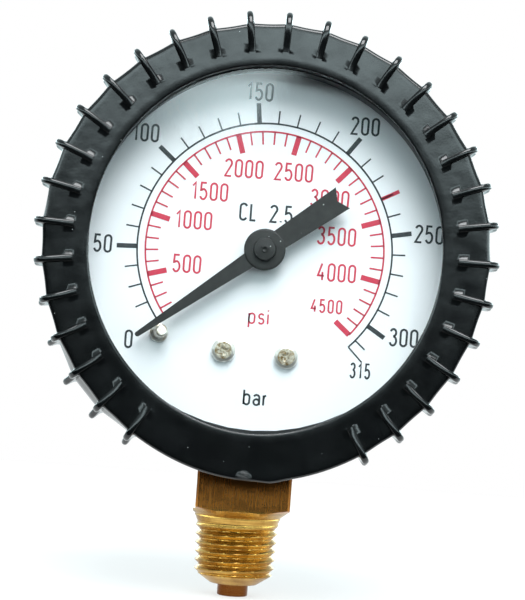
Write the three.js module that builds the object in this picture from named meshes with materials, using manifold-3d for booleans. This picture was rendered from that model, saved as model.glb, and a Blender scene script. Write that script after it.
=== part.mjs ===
// A 63 mm Bourdon pressure gauge with a bottom connection and a rubber boot.
// Millimetres. +Z is up, the dial faces -Y and +X is to the right of someone reading it.
// The origin is on the thread's axis, at the thread's end face.
// Everything in the head is built around the head's own axis, which runs along Y through the
// dial's centre: "across" is the distance to the right of it and "up" the height above it.
// Lathe profiles are [radius, position along the axis] and run counter-clockwise.

import * as THREE from "three";
import { mergeVertices } from "three/addons/utils/BufferGeometryUtils.js";
import Module from "manifold-3d";

const solids = await Module();
solids.setup();

// ---------------------------------------------------------------- driving dimensions

const DIAL_HEIGHT = 54; // dial centre above the thread's end face
const HEAD_SHIFT = 1.2; // the head's axis is this far to the right of the thread's axis
const CLEARANCE = 0.3; // between parts that are cut to fit each other
const TOUCH = 0.1; // between parts that rest on each other

// Depths along Y, from front to back.
const BOOT_FRONT = -19.9;
const BOOT_BACK = 12;
const WINDOW_FRONT = -17.9;
const WINDOW_THICKNESS = 1.2;
const DIAL_FRONT = -12.5;
const DIAL_THICKNESS = 0.4;
const CASE_RIM = -13.6;
const CASE_BACK = 9.5;
const SHEET = 0.8; // thickness of the case and of the movement plates
const FRONT_PLATE_FRONT = -9;
const BACK_PLATE_FRONT = -1.7;
const TUBE_DEPTH = 3.4; // the Bourdon tube's middle plane

// Radii around the head's axis.
const BOOT_RADIUS = 34.7;
const RIB_RADIUS = 36.4;
const REAR_LOBE_RADIUS = 37;
const RIB_LOW_RADIUS = 35.8;
const LIP_RADIUS = 28;
const CASE_RADIUS = 31;
const BEZEL_RADIUS = 31.8;
const DIAL_RADIUS = 29.8;
const BOOT_BACK_OPENING = 24.5;

// Ribs around the boot, with one space of 60 degrees around the stem.
const RIB_COUNT = 31;
const RIB_STEP = 10;
const RIB_THICKNESS = 1.2;

// Pointer.
const REST_ANGLE = 218.5; // where the pointer rests, counter-clockwise from +X
const POINTER_LENGTH = 24.3;
const TAIL_LENGTH = 14.7;
const BLADE_FRONT = -15.2;
const BLADE_BACK = -14.4;
const HUB_RADIUS = 3.27;
const BOSS_RADIUS = 1.75;
const STOP_PIN = [-15.25, -13.9];
const STOP_PIN_RADIUS = 0.85;

// Gear train: 84 sector teeth to the full circle drive 12 pinion teeth.
const MODULE = 0.25;
const PRESSURE_ANGLE = THREE.MathUtils.degToRad(25);
const PINION_TEETH = 12;
const SECTOR_TEETH = 84;
const CENTRE_DISTANCE = (MODULE * (PINION_TEETH + SECTOR_TEETH)) / 2;
const SECTOR_FRONT = -4.2;
const SECTOR_BACK = -3.2;
const TAIL_ARM = 3.6;
const TAIL_ANGLE = -66;
const TIP_PIN_RADIUS = 18; // distance of the tube tip's pin from the head's axis
const TIP_PIN_ANGLE = -18;
const LINK_FRONT = -5.1;
const LINK_BACK = -4.5;
const PIN_RADIUS = 0.45;

// Bourdon tube, an arc that runs clockwise from the socket to the tip.
const TUBE_RADIUS = 20.5;
const TUBE_START = 253;
const TUBE_END = -12;
const TUBE_ACROSS = 3.6;
const TUBE_ALONG_Y = 6.2;

// Movement pillars and the dial screws that end in the lower two.
const UPPER_PILLARS = [[-6.4, 3.2], [6.4, 3.2]];
const LOWER_PILLARS = [[-5.35, -16.2], [4.6, -16.55]];
const MOVEMENT_SCREWS = [[-2.8, -18.5], [2, -18.5]];
const CASE_SCREWS = [[-4.1, -18.2], [3.1, -18.2]];
const BLOWOUT_UP = 13;
const BLOWOUT_RADIUS = 5;

// Socket.
const BLOCK_WIDTH = 15.2;
const BLOCK_SHIFT = 0.7; // the block's middle is this far to the right of the thread's axis
const BLOCK_CHAMFER = 0.8;
const FLATS_TOP = 18.9; // just under the boot
const COLLAR_LEFT = -7.35;
const THREAD_LENGTH = 10.3;
const THREAD_PITCH = 1.411;
const THREAD_END_RADIUS = 6.45;
const THREAD_TAPER = 1 / 32;
const THREAD_DEPTH = 0.75;
const SPIGOT_RADIUS = 2.5;
const SPIGOT_LENGTH = 2;
const BORE_RADIUS = 1.2;
const RESTRICTOR_RADIUS = 1.5;

// Numbers of facets around turned parts.
const LARGE = 48;
const SMALL = 14;
const BOOT_FACETS = 360 / RIB_STEP;

// ---------------------------------------------------------------- materials

const finish = (color, roughness, metalness, more = {}) => () =>
  new THREE.MeshStandardMaterial({ color, roughness, metalness, ...more });
const rubber = finish(0x26282a, 0.75, 0);
const blackSteel = finish(0x1a1a1c, 0.5, 0.4);
const steel = finish(0xb8bbbd, 0.35, 0.9);
const nickel = finish(0xc9c2b0, 0.25, 1);
const brass = finish(0xb5893a, 0.35, 1);
const bronze = finish(0xa9713f, 0.4, 1);
const whitePaint = finish(0xf4f5f6, 0.5, 0);
const greyPlastic = finish(0x37393b, 0.55, 0);
const clear = finish(0xe8f0f2, 0.05, 0, { transparent: true, opacity: 0.3 });

// ---------------------------------------------------------------- shape helpers

const radians = THREE.MathUtils.degToRad;

// A point at a radius and an angle, counter-clockwise from +X as the dial's reader sees it.
function polar(radius, degrees) {
  return [radius * Math.cos(radians(degrees)), radius * Math.sin(radians(degrees))];
}

function plus([x, y], [dx, dy]) {
  return [x + dx, y + dy];
}

function shapeOf(points) {
  return new THREE.Shape(points.map(([x, y]) => new THREE.Vector2(x, y)));
}

function circlePoints(radius, count, [x, y] = [0, 0]) {
  return Array.from({ length: count }, (_, i) => plus([x, y], polar(radius, (360 * i) / count)));
}

function withHoles(shape, holes, count = SMALL) {
  for (const { at, radius } of holes) shape.holes.push(shapeOf(circlePoints(radius, count, at).reverse()));
  return shape;
}

// Turned around Y.
function turned(profile, segments = SMALL) {
  return new THREE.LatheGeometry(profile.map(([r, y]) => new THREE.Vector2(r, y)), segments);
}

// Turned around Y, then moved across and up.
function turnedAt([across, up], profile, segments = SMALL) {
  return turned(profile, segments).translate(across, 0, up);
}

// A flat shape in the dial's plane, as thick as from front to back.
function plate(shape, front, back) {
  const flat = new THREE.ExtrudeGeometry(shape, { depth: back - front, bevelEnabled: false });
  return flat.rotateX(Math.PI / 2).translate(0, back, 0);
}

function block([x0, x1], [y0, y1], [z0, z1]) {
  const box = new THREE.BoxGeometry(x1 - x0, y1 - y0, z1 - z0);
  return box.translate((x0 + x1) / 2, (y0 + y1) / 2, (z0 + z1) / 2);
}

// A round bar between two points.
function rod(start, end, radius, segments = SMALL) {
  const from = new THREE.Vector3(...start);
  const along = new THREE.Vector3(...end).sub(from);
  const bar = new THREE.CylinderGeometry(radius, radius, along.length(), segments);
  const alongY = new THREE.Vector3(0, 1, 0);
  const turn = new THREE.Quaternion().setFromUnitVectors(alongY, along.clone().normalize());
  return bar.applyQuaternion(turn).translate(...from.addScaledVector(along, 0.5).toArray());
}

// ---------------------------------------------------------------- cutting and joining

function toSolid(geometry) {
  const bare = geometry.clone();
  bare.deleteAttribute("normal");
  bare.deleteAttribute("uv");
  const merged = mergeVertices(bare, 1e-4);
  const vertProperties = new Float32Array(merged.attributes.position.array);
  const triVerts = new Uint32Array(merged.index.array);
  return new solids.Manifold(new solids.Mesh({ numProp: 3, vertProperties, triVerts }));
}

function toGeometry(solid) {
  const mesh = solid.getMesh();
  const geometry = new THREE.BufferGeometry();
  geometry.setAttribute("position", new THREE.BufferAttribute(mesh.vertProperties, 3));
  geometry.setIndex(new THREE.BufferAttribute(mesh.triVerts, 1));
  geometry.computeVertexNormals();
  return geometry;
}

function join(first, ...others) {
  return toGeometry(others.reduce((sum, next) => sum.add(toSolid(next)), toSolid(first)));
}

function cut(first, ...tools) {
  return toGeometry(tools.reduce((rest, tool) => rest.subtract(toSolid(tool)), toSolid(first)));
}

function common(first, second) {
  return toGeometry(toSolid(first).intersect(toSolid(second)));
}

// ---------------------------------------------------------------- the assembly

const gauge = new THREE.Group();
const head = new THREE.Group();
head.position.set(HEAD_SHIFT, 0, DIAL_HEIGHT);
gauge.add(head);

function add(name, geometry, material, parent = head) {
  const mesh = new THREE.Mesh(geometry, material);
  mesh.name = name;
  parent.add(mesh);
  return mesh;
}

// ---------------------------------------------------------------- case, window and boot

const BLOCK_ACROSS = BLOCK_SHIFT - HEAD_SHIFT; // the block's middle, from the head's axis
const FITTED_BLOCK = BLOCK_WIDTH / 2 - 0.1; // half the block's width inside the boot and the case

// The square hole that the block passes through, in the case and in the boot.
function stemNotch(lowest, highest) {
  const half = FITTED_BLOCK + CLEARANCE;
  return block([BLOCK_ACROSS - half, BLOCK_ACROSS + half], [-half, half], [lowest, highest]);
}

function caseCup() {
  const inside = CASE_RADIUS - SHEET;
  const cup = turned(
    [
      [0, CASE_BACK - SHEET],
      [inside - 1, CASE_BACK - SHEET],
      [inside, CASE_BACK - SHEET - 1],
      [inside, CASE_RIM],
      [CASE_RADIUS, CASE_RIM],
      [CASE_RADIUS, CASE_BACK - 1.2],
      [CASE_RADIUS - 1.2, CASE_BACK],
      [0, CASE_BACK],
    ],
    LARGE,
  );
  const screwHoles = CASE_SCREWS.map(([x, z]) => rod([x, 5, z], [x, 12, z], 1.5));
  const ventHole = rod([0, 5, BLOWOUT_UP], [0, 12, BLOWOUT_UP], BLOWOUT_RADIUS, 24);
  return cut(cup, stemNotch(-33, -28), ventHole, ...screwHoles);
}

function bezelRing() {
  const front = WINDOW_FRONT - TOUCH - 0.5;
  const inner = CASE_RADIUS + CLEARANCE;
  return turned(
    [
      [LIP_RADIUS + 0.3, front],
      [BEZEL_RADIUS - 0.6, front],
      [BEZEL_RADIUS, front + 0.6],
      [BEZEL_RADIUS, -9.5],
      [inner, -9.5],
      [inner, WINDOW_FRONT - TOUCH],
      [LIP_RADIUS + 0.3, WINDOW_FRONT - TOUCH],
      [LIP_RADIUS + 0.3, front],
    ],
    LARGE,
  );
}

function windowPane() {
  const radius = CASE_RADIUS;
  const back = WINDOW_FRONT + WINDOW_THICKNESS;
  const chamfer = 0.3;
  return turned(
    [
      [0, WINDOW_FRONT],
      [radius - chamfer, WINDOW_FRONT],
      [radius, WINDOW_FRONT + chamfer],
      [radius, back],
      [0, back],
    ],
    LARGE,
  );
}

// Sits on the case's rim, and its skirt reaches down to the dial.
function windowGasket() {
  const front = WINDOW_FRONT + WINDOW_THICKNESS + TOUCH;
  const skirt = CASE_RADIUS - SHEET - TOUCH;
  return turned(
    [
      [LIP_RADIUS, front],
      [CASE_RADIUS, front],
      [CASE_RADIUS, CASE_RIM - TOUCH],
      [skirt, CASE_RIM - TOUCH],
      [skirt, DIAL_FRONT - TOUCH],
      [LIP_RADIUS, DIAL_FRONT - TOUCH],
      [LIP_RADIUS, front],
    ],
    LARGE,
  );
}

// One grip rib: it starts on the front face and stands out past the edge in one lobe and then
// in a second, higher one. It runs low along the side and stands out again near the back. Its
// outline is [radius, depth].
function bootRib(degrees) {
  const outline = shapeOf([
    [30.6, BOOT_FRONT + 0.6],
    [31, BOOT_FRONT - 0.4],
    [35.3, BOOT_FRONT - 0.1],
    [RIB_RADIUS, BOOT_FRONT + 2],
    [RIB_LOW_RADIUS, BOOT_FRONT + 5],
    [REAR_LOBE_RADIUS, BOOT_FRONT + 8.4],
    [RIB_LOW_RADIUS, BOOT_FRONT + 12],
    [RIB_LOW_RADIUS, BOOT_BACK - 8],
    [RIB_RADIUS, BOOT_BACK - 2.4],
    [BOOT_RADIUS, BOOT_BACK - 0.4],
    [BOOT_RADIUS - 1.6, BOOT_BACK - 1],
    [BOOT_RADIUS - 1.6, BOOT_FRONT + 3],
  ]);
  const rib = new THREE.ExtrudeGeometry(outline, { depth: RIB_THICKNESS, bevelEnabled: false });
  return rib.translate(0, 0, -RIB_THICKNESS / 2).rotateY(-radians(degrees));
}

function rubberBoot() {
  const overCase = CASE_RADIUS + CLEARANCE;
  const overBezel = BEZEL_RADIUS + CLEARANCE;
  const lipBack = WINDOW_FRONT - TOUCH - 0.5 - TOUCH;
  const shell = turned(
    [
      [LIP_RADIUS, BOOT_FRONT],
      [30.3, BOOT_FRONT],
      [33.6, BOOT_FRONT + 0.8],
      [34.5, BOOT_FRONT + 1.6],
      [BOOT_RADIUS, BOOT_FRONT + 3],
      [BOOT_RADIUS + 0.2, -4],
      [BOOT_RADIUS, BOOT_BACK - 2.4],
      [33.6, BOOT_BACK],
      [BOOT_BACK_OPENING, BOOT_BACK],
      [BOOT_BACK_OPENING, CASE_BACK + CLEARANCE],
      [overCase - 1, CASE_BACK + CLEARANCE],
      [overCase, CASE_BACK - 1],
      [overCase, -9.2],
      [overBezel, -9.2],
      [overBezel, lipBack],
      [LIP_RADIUS, lipBack],
      [LIP_RADIUS, BOOT_FRONT],
    ],
    BOOT_FACETS,
  );
  const first = 90 - (RIB_STEP * (RIB_COUNT - 1)) / 2;
  const ribs = Array.from({ length: RIB_COUNT }, (_, i) => bootRib(first + RIB_STEP * i));
  return cut(join(shell, ...ribs), stemNotch(-38, -28));
}

function blowoutPlug() {
  const neck = BLOWOUT_RADIUS - 0.2;
  const outside = CASE_BACK + TOUCH;
  const inside = CASE_BACK - SHEET - TOUCH;
  return turnedAt(
    [0, BLOWOUT_UP],
    [
      [0, inside - 1.2],
      [neck - 0.6, inside - 1.2],
      [neck + 0.7, inside],
      [neck, inside],
      [neck, outside],
      [neck + 1.4, outside],
      [neck + 1, outside + 0.9],
      [0, outside + 0.9],
    ],
    24,
  );
}

add("rubber_boot", rubberBoot(), rubber());
add("case_cup", caseCup(), blackSteel());
add("bezel_ring", bezelRing(), blackSteel());
add("window", windowPane(), clear());
add("window_gasket", windowGasket(), rubber());
add("blowout_plug", blowoutPlug(), rubber());

// ---------------------------------------------------------------- screws

// A cheese-head screw along Y with a slot. Its head starts at the depth "seat" and stands out
// towards -Y, and its shank runs the other way.
function slottedScrew(at, seat, headRadius, headHeight, shankRadius, shankLength) {
  const top = seat - headHeight;
  const screw = turned(
    [
      [0, top],
      [headRadius - 0.2, top],
      [headRadius, top + 0.2],
      [headRadius, seat],
      [shankRadius, seat],
      [shankRadius, seat + shankLength],
      [0, seat + shankLength],
    ],
    12,
  );
  const slot = headRadius * 0.16;
  const depth = [top - 1, top + headHeight * 0.5];
  return cut(screw, block([-4, 4], depth, [-slot, slot])).translate(at[0], 0, at[1]);
}

// A pan-head screw with a cross recess.
function panScrew(at, seat, headRadius, headHeight, shankRadius, shankLength) {
  const top = seat - headHeight;
  const screw = turned([
    [0, top],
    [headRadius * 0.7, top + headHeight * 0.08],
    [headRadius * 0.93, top + headHeight * 0.35],
    [headRadius, top + headHeight * 0.7],
    [headRadius, seat],
    [shankRadius, seat],
    [shankRadius, seat + shankLength],
    [0, seat + shankLength],
  ]);
  const slot = headRadius * 0.16;
  const reach = headRadius * 0.6;
  const depth = [top - 1, top + headHeight * 0.55];
  const upright = block([-slot, slot], depth, [-reach, reach]);
  const level = block([-reach, reach], depth, [-slot, slot]);
  return cut(screw, upright, level).translate(at[0], 0, at[1]);
}

const SIDES = ["left", "right"];

// The case screws stand out of the back, so they are turned end for end.
CASE_SCREWS.forEach(([x, z], i) => {
  const screw = panScrew([0, 0], 0, 2.2, 1.3, 1.2, 3.8).rotateZ(Math.PI).translate(x, CASE_BACK + TOUCH, z);
  add(`case_screw_${SIDES[i]}`, screw, steel());
});

MOVEMENT_SCREWS.forEach((at, i) => {
  const screw = slottedScrew(at, BACK_PLATE_FRONT - TOUCH, 1.25, 0.9, 0.7, 3.4);
  add(`movement_screw_${SIDES[i]}`, screw, steel());
});

UPPER_PILLARS.forEach((at, i) => {
  const screw = slottedScrew(at, FRONT_PLATE_FRONT - TOUCH, 1.4, 0.9, 0.6, 3);
  add(`plate_screw_${SIDES[i]}`, screw, steel());
});

LOWER_PILLARS.forEach((at, i) => {
  const screw = panScrew(at, DIAL_FRONT - TOUCH, 1.8, 1.1, 0.8, 6.2);
  add(`dial_screw_${SIDES[i]}`, screw, nickel());
});

// ---------------------------------------------------------------- dial and stop pin

function dial() {
  const holes = [
    { at: [0, 0], radius: 1.9 },
    { at: STOP_PIN, radius: 0.6 },
    ...LOWER_PILLARS.map((at) => ({ at, radius: 1 })),
  ];
  const disc = withHoles(shapeOf(circlePoints(DIAL_RADIUS, LARGE)), holes);
  return plate(disc, DIAL_FRONT, DIAL_FRONT + DIAL_THICKNESS);
}

function stopPin() {
  const collar = DIAL_FRONT - TOUCH;
  const tip = collar - 3.3;
  return turnedAt(STOP_PIN, [
    [0, tip],
    [STOP_PIN_RADIUS - 0.35, tip],
    [STOP_PIN_RADIUS, tip + 0.35],
    [STOP_PIN_RADIUS, collar - 0.7],
    [1.35, collar - 0.6],
    [1.35, collar],
    [0.5, collar],
    [0.5, collar + 1.1],
    [0, collar + 1.1],
  ]);
}

// A sleeve that holds the dial off the movement.
function dialSpacer(at) {
  const front = DIAL_FRONT + DIAL_THICKNESS + TOUCH;
  const back = FRONT_PLATE_FRONT - TOUCH;
  return turnedAt(at, [[1, front], [1.7, front], [1.7, back], [1, back], [1, front]]);
}

add("dial", dial(), whitePaint());
add("stop_pin", stopPin(), nickel());
LOWER_PILLARS.forEach((at, i) => add(`dial_spacer_${SIDES[i]}`, dialSpacer(at), brass()));

// ---------------------------------------------------------------- pointer

// The blade's outline, with the tip on +X and the notched tail on -X.
function bladeOutline() {
  const half = [
    [POINTER_LENGTH, 0.32],
    [3, 1.25],
    [0, 1.45],
    [-3, 1.6],
    [-TAIL_LENGTH, 1.98],
  ];
  const notch = [1 - TAIL_LENGTH, 0];
  const mirrored = half.map(([x, y]) => [x, -y]).reverse();
  return shapeOf([...half, notch, ...mirrored]);
}

function pointer() {
  const blade = plate(bladeOutline(), BLADE_FRONT, BLADE_BACK);
  const hub = rod([0, BLADE_FRONT - 0.2, 0], [0, BLADE_BACK + 0.1, 0], HUB_RADIUS, 40);
  const bore = rod([0, -20, 0], [0, -10, 0], 1.5);
  return cut(join(blade, hub), bore);
}

// The boss on the hub and the sleeve behind it, bored for the arbor's end.
function pointerBush() {
  const boss = BLADE_FRONT - 0.2 - TOUCH;
  const back = BLADE_BACK + 1.2;
  const bore = 0.62;
  return turned([
    [0, boss - 0.85],
    [BOSS_RADIUS - 0.2, boss - 0.8],
    [BOSS_RADIUS, boss - 0.6],
    [BOSS_RADIUS, boss],
    [1.35, boss],
    [1.35, back],
    [bore, back],
    [bore, boss],
    [0, boss],
  ]);
}

for (const [name, geometry] of [["pointer", pointer()], ["pointer_bush", pointerBush()]]) {
  add(name, geometry, greyPlastic()).rotation.y = -radians(REST_ANGLE);
}

// ---------------------------------------------------------------- gears

// The involute function of the pressure angle at a radius.
function involute(radius, base) {
  const angle = Math.acos(Math.min(1, base / radius));
  return Math.tan(angle) - angle;
}

// The points of one tooth, counter-clockwise, centred on an angle.
function toothPoints(teeth, centre, addendum, dedendum) {
  const pitchRadius = (MODULE * teeth) / 2;
  const base = pitchRadius * Math.cos(PRESSURE_ANGLE);
  const root = pitchRadius - dedendum;
  const tip = pitchRadius + addendum;
  const lowest = Math.max(base, root);
  const backlash = 0.025 / pitchRadius;
  const halfAtPitch = Math.PI / (2 * teeth) - backlash;
  const halfAt = (r) => halfAtPitch + involute(pitchRadius, base) - involute(r, base);
  const radii = [0, 0.5, 1].map((t) => lowest + (tip - lowest) * t);
  const flank = [[root, halfAt(lowest)], ...radii.map((r) => [r, halfAt(r)])];
  if (root >= base) flank.shift();
  const rising = flank.map(([r, half]) => polar(r, centre - THREE.MathUtils.radToDeg(half)));
  const falling = flank.map(([r, half]) => polar(r, centre + THREE.MathUtils.radToDeg(half))).reverse();
  return [...rising, ...falling];
}

function pinionArbor() {
  const step = 360 / PINION_TEETH;
  const outline = Array.from({ length: PINION_TEETH }, (_, i) =>
    toothPoints(PINION_TEETH, step * (i + 0.5) - 90, MODULE, 1.25 * MODULE),
  ).flat();
  const teeth = plate(shapeOf(outline), SECTOR_FRONT - 1, SECTOR_BACK + 0.9);
  const frontPivot = FRONT_PLATE_FRONT + SHEET + TOUCH;
  const backPivot = BACK_PLATE_FRONT - TOUCH;
  const shaft = turned(
    [
      [0, BLADE_FRONT - 0.1],
      [0.48, BLADE_FRONT - 0.1],
      [0.55, frontPivot],
      [0.8, frontPivot],
      [0.8, backPivot],
      [0.4, backPivot],
      [0.4, BACK_PLATE_FRONT + SHEET],
      [0, BACK_PLATE_FRONT + SHEET],
    ],
    16,
  );
  return join(shaft, teeth);
}

const SECTOR_PIVOT = [0, -CENTRE_DISTANCE];
const TAIL_PIN = plus(SECTOR_PIVOT, polar(TAIL_ARM, TAIL_ANGLE));
const TIP_PIN = polar(TIP_PIN_RADIUS, TIP_PIN_ANGLE);

// The toothed sector, built around its own pivot. One tooth is centred straight above it.
function sectorGear() {
  const step = 360 / SECTOR_TEETH;
  const firstTooth = -11;
  const lastTooth = 2;
  const teeth = [];
  for (let i = firstTooth; i <= lastTooth; i += 1) {
    teeth.push(...toothPoints(SECTOR_TEETH, 90 + step * i, 0.8 * MODULE, 1.3 * MODULE));
  }
  const start = 90 + step * (firstTooth - 1);
  const end = 90 + step * (lastTooth + 1);
  const rootRadius = (MODULE * SECTOR_TEETH) / 2 - 1.3 * MODULE;
  const web = shapeOf([[0, 0], polar(rootRadius, start), ...teeth, polar(rootRadius, end)]);
  const rimRadius = rootRadius - 1.8;
  const windowAngles = [start + 14, start + 26, start + 38, end - 14];
  const openingRim = windowAngles.map((angle) => polar(rimRadius, angle));
  const opening = [polar(4.4, start + 22), ...openingRim, polar(4.4, end - 22)];
  const wheel = plate(web, SECTOR_FRONT, SECTOR_BACK);
  const lightening = plate(shapeOf(opening), SECTOR_FRONT - 1, SECTOR_BACK + 1);
  const hub = plate(shapeOf(circlePoints(2.3, 28)), SECTOR_FRONT - 0.2, SECTOR_BACK + 0.2);
  const [tailX, tailZ] = polar(TAIL_ARM, TAIL_ANGLE);
  const tailEnd = plate(shapeOf(circlePoints(1.2, SMALL, [tailX, tailZ])), SECTOR_FRONT, SECTOR_BACK);
  const tailArm = block([0, TAIL_ARM], [SECTOR_FRONT, SECTOR_BACK], [-1, 1]);
  tailArm.rotateY(-radians(TAIL_ANGLE));
  const arbor = rod([0, -8, 0], [0, 0, 0], 0.95);
  const pin = rod([tailX, -8, tailZ], [tailX, 0, tailZ], PIN_RADIUS + 0.08);
  const sector = cut(join(wheel, hub, tailArm, tailEnd), lightening, arbor, pin);
  return sector.translate(SECTOR_PIVOT[0], 0, SECTOR_PIVOT[1]);
}

function sectorArbor() {
  const front = FRONT_PLATE_FRONT;
  const back = BACK_PLATE_FRONT + SHEET;
  return turnedAt(
    SECTOR_PIVOT,
    [
      [0, front],
      [0.4, front],
      [0.4, front + SHEET + TOUCH],
      [0.85, front + SHEET + TOUCH],
      [0.85, BACK_PLATE_FRONT - TOUCH],
      [0.4, BACK_PLATE_FRONT - TOUCH],
      [0.4, back],
      [0, back],
    ],
    16,
  );
}

// A headed pin along Y. Its head is in front of the link.
function headedPin(at) {
  const underHead = LINK_FRONT - TOUCH;
  return turnedAt(
    at,
    [
      [0, underHead - 0.5],
      [0.95, underHead - 0.45],
      [0.95, underHead],
      [PIN_RADIUS, underHead],
      [PIN_RADIUS, SECTOR_BACK + 0.3],
      [0, SECTOR_BACK + 0.3],
    ],
    16,
  );
}

// The link runs from the tube tip's pin to the sector's tail pin. Its hole at the tail is wide.
function link() {
  const tipHole = PIN_RADIUS + 0.08;
  const tailHole = PIN_RADIUS + 0.3;
  const half = 0.8;
  const along = new THREE.Vector2(TAIL_PIN[0] - TIP_PIN[0], TAIL_PIN[1] - TIP_PIN[1]);
  const side = new THREE.Vector2(-along.y, along.x).setLength(half);
  const strip = shapeOf([
    plus(TIP_PIN, [side.x, side.y]),
    plus(TIP_PIN, [-side.x, -side.y]),
    plus(TAIL_PIN, [-side.x, -side.y]),
    plus(TAIL_PIN, [side.x, side.y]),
  ]);
  const tipEye = plate(shapeOf(circlePoints(1.15, SMALL, TIP_PIN)), LINK_FRONT, LINK_BACK);
  const tailEye = plate(shapeOf(circlePoints(1.35, SMALL, TAIL_PIN)), LINK_FRONT, LINK_BACK);
  const holes = [[TIP_PIN, tipHole], [TAIL_PIN, tailHole]];
  const drills = holes.map(([[x, z], radius]) => rod([x, -8, z], [x, 0, z], radius));
  return cut(join(plate(strip, LINK_FRONT, LINK_BACK), tipEye, tailEye), ...drills);
}

add("pinion_arbor", pinionArbor(), steel());
add("sector_gear", sectorGear(), brass());
add("sector_arbor", sectorArbor(), steel());
add("link", link(), brass());
add("tail_pin", headedPin(TAIL_PIN), steel());
add("tip_pin", headedPin(TIP_PIN), steel());

// ---------------------------------------------------------------- movement frame

function movementPlate(front, holes, bottom) {
  const outline = shapeOf([
    [-7, bottom],
    [6.4, bottom],
    [7.9, bottom + 1.6],
    [8.2, 4],
    [6.8, 5.2],
    [-6.8, 5.2],
    [-8.2, 4],
    [-8.2, bottom + 1.2],
  ]);
  return plate(withHoles(outline, holes, 16), front, front + SHEET);
}

const pivotHole = (at) => ({ at, radius: 0.5 });
const HAIRSPRING_STUD = [-5.75, 0.6];

const frontHoles = [
  { at: [0, 0], radius: 0.7 },
  pivotHole(SECTOR_PIVOT),
  pivotHole(HAIRSPRING_STUD),
  ...UPPER_PILLARS.map((at) => ({ at, radius: 0.75 })),
  ...LOWER_PILLARS.map((at) => ({ at, radius: 1 })),
];
const backHoles = [
  pivotHole([0, 0]),
  pivotHole(SECTOR_PIVOT),
  ...MOVEMENT_SCREWS.map((at) => ({ at, radius: 0.85 })),
];

// A pillar between the plates, with a blind hole in its front end for a screw.
function pillar(at, radius, hole) {
  const front = FRONT_PLATE_FRONT + SHEET + TOUCH;
  const back = BACK_PLATE_FRONT - TOUCH;
  const bottom = front + 2.6;
  const drilled = [[0, bottom], [hole, bottom], [hole, front]];
  return turnedAt(at, [...drilled, [radius, front], [radius, back], [0, back]]);
}

add("movement_front_plate", movementPlate(FRONT_PLATE_FRONT, frontHoles, -18.9), brass());
add("movement_back_plate", movementPlate(BACK_PLATE_FRONT, backHoles, -20.2), brass());
UPPER_PILLARS.forEach((at, i) => add(`upper_pillar_${SIDES[i]}`, pillar(at, 1.3, 0.7), brass()));
LOWER_PILLARS.forEach((at, i) => add(`lower_pillar_${SIDES[i]}`, pillar(at, 1.5, 0.95), brass()));

// ---------------------------------------------------------------- hairspring

const SPRING_INNER = 1.75;
const SPRING_OUTER = 5;
const SPRING_TURNS = 3.5;
const SPRING_END_ANGLE = 172;
const SPRING_FRONT = -7.3;
const SPRING_BACK = -6.8;

class SpiralPath extends THREE.Curve {
  getPoint(t, target = new THREE.Vector3()) {
    const radius = SPRING_INNER + (SPRING_OUTER - SPRING_INNER) * t;
    const [x, z] = polar(radius, SPRING_END_ANGLE - 360 * SPRING_TURNS * (1 - t));
    return target.set(x, (SPRING_FRONT + SPRING_BACK) / 2, z);
  }
}

function hairspring() {
  const tall = (SPRING_BACK - SPRING_FRONT) / 2;
  const thin = 0.1;
  const section = shapeOf([[-tall, -thin], [tall, -thin], [tall, thin], [-tall, thin]]);
  const extrudePath = new SpiralPath();
  return new THREE.ExtrudeGeometry(section, { steps: 56, bevelEnabled: false, extrudePath });
}

function hairspringCollet() {
  return turned([
    [0.9, SPRING_FRONT - 0.2],
    [1.5, SPRING_FRONT - 0.2],
    [1.5, SPRING_BACK + 0.3],
    [0.9, SPRING_BACK + 0.3],
    [0.9, SPRING_FRONT - 0.2],
  ]);
}

function hairspringStud() {
  return turnedAt(HAIRSPRING_STUD, [
    [0, FRONT_PLATE_FRONT],
    [0.4, FRONT_PLATE_FRONT],
    [0.4, FRONT_PLATE_FRONT + SHEET + TOUCH],
    [0.6, FRONT_PLATE_FRONT + SHEET + TOUCH],
    [0.6, SPRING_BACK + 0.2],
    [0, SPRING_BACK + 0.2],
  ]);
}

add("hairspring", hairspring(), bronze());
add("hairspring_collet", hairspringCollet(), brass());
add("hairspring_stud", hairspringStud(), brass());

// ---------------------------------------------------------------- Bourdon tube

class ArcPath extends THREE.Curve {
  constructor(radius, start, end, depth) {
    super();
    Object.assign(this, { radius, start, end, depth });
  }
  getPoint(t, target = new THREE.Vector3()) {
    const [x, z] = polar(this.radius, this.start + (this.end - this.start) * t);
    return target.set(x, this.depth, z);
  }
}

// A flattened round section swept along part of the tube's arc. Its long side lies along Y.
function flatTube(start, end, margin, steps, count) {
  const section = circlePoints(1, count).map(([x, y]) => [
    (Math.sign(x) * Math.abs(x) ** 0.6 * (TUBE_ALONG_Y + margin)) / 2,
    (Math.sign(y) * Math.abs(y) ** 0.8 * (TUBE_ACROSS + margin)) / 2,
  ]);
  const extrudePath = new ArcPath(TUBE_RADIUS, start, end, TUBE_DEPTH);
  return new THREE.ExtrudeGeometry(shapeOf(section), { steps, bevelEnabled: false, extrudePath });
}

// The cap over the tube's end, and the lug that carries the link's pin forward to the sector.
function tubeTip() {
  const angle = TUBE_END - 4;
  const cap = block([-3, 3], [-0.4, 7.2], [-3.2, 2.6]);
  const neck = block([-0.6, 1.2], [SECTOR_FRONT, 0], [-2.6, 1.4]);
  const lugPlate = block([-3.9, 1.2], [SECTOR_FRONT, SECTOR_BACK], [-2.6, 1.4]);
  const placed = (geometry) => geometry.rotateY(-radians(angle)).translate(...tubePoint(angle));
  const socketEnd = flatTube(TUBE_END + 12, TUBE_END - 0.4, 0.3, 4, SMALL);
  const [x, z] = TIP_PIN;
  const drill = rod([x, -8, z], [x, 0, z], PIN_RADIUS + 0.08);
  return cut(join(placed(cap), placed(neck), placed(lugPlate)), socketEnd, drill);
}

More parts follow.
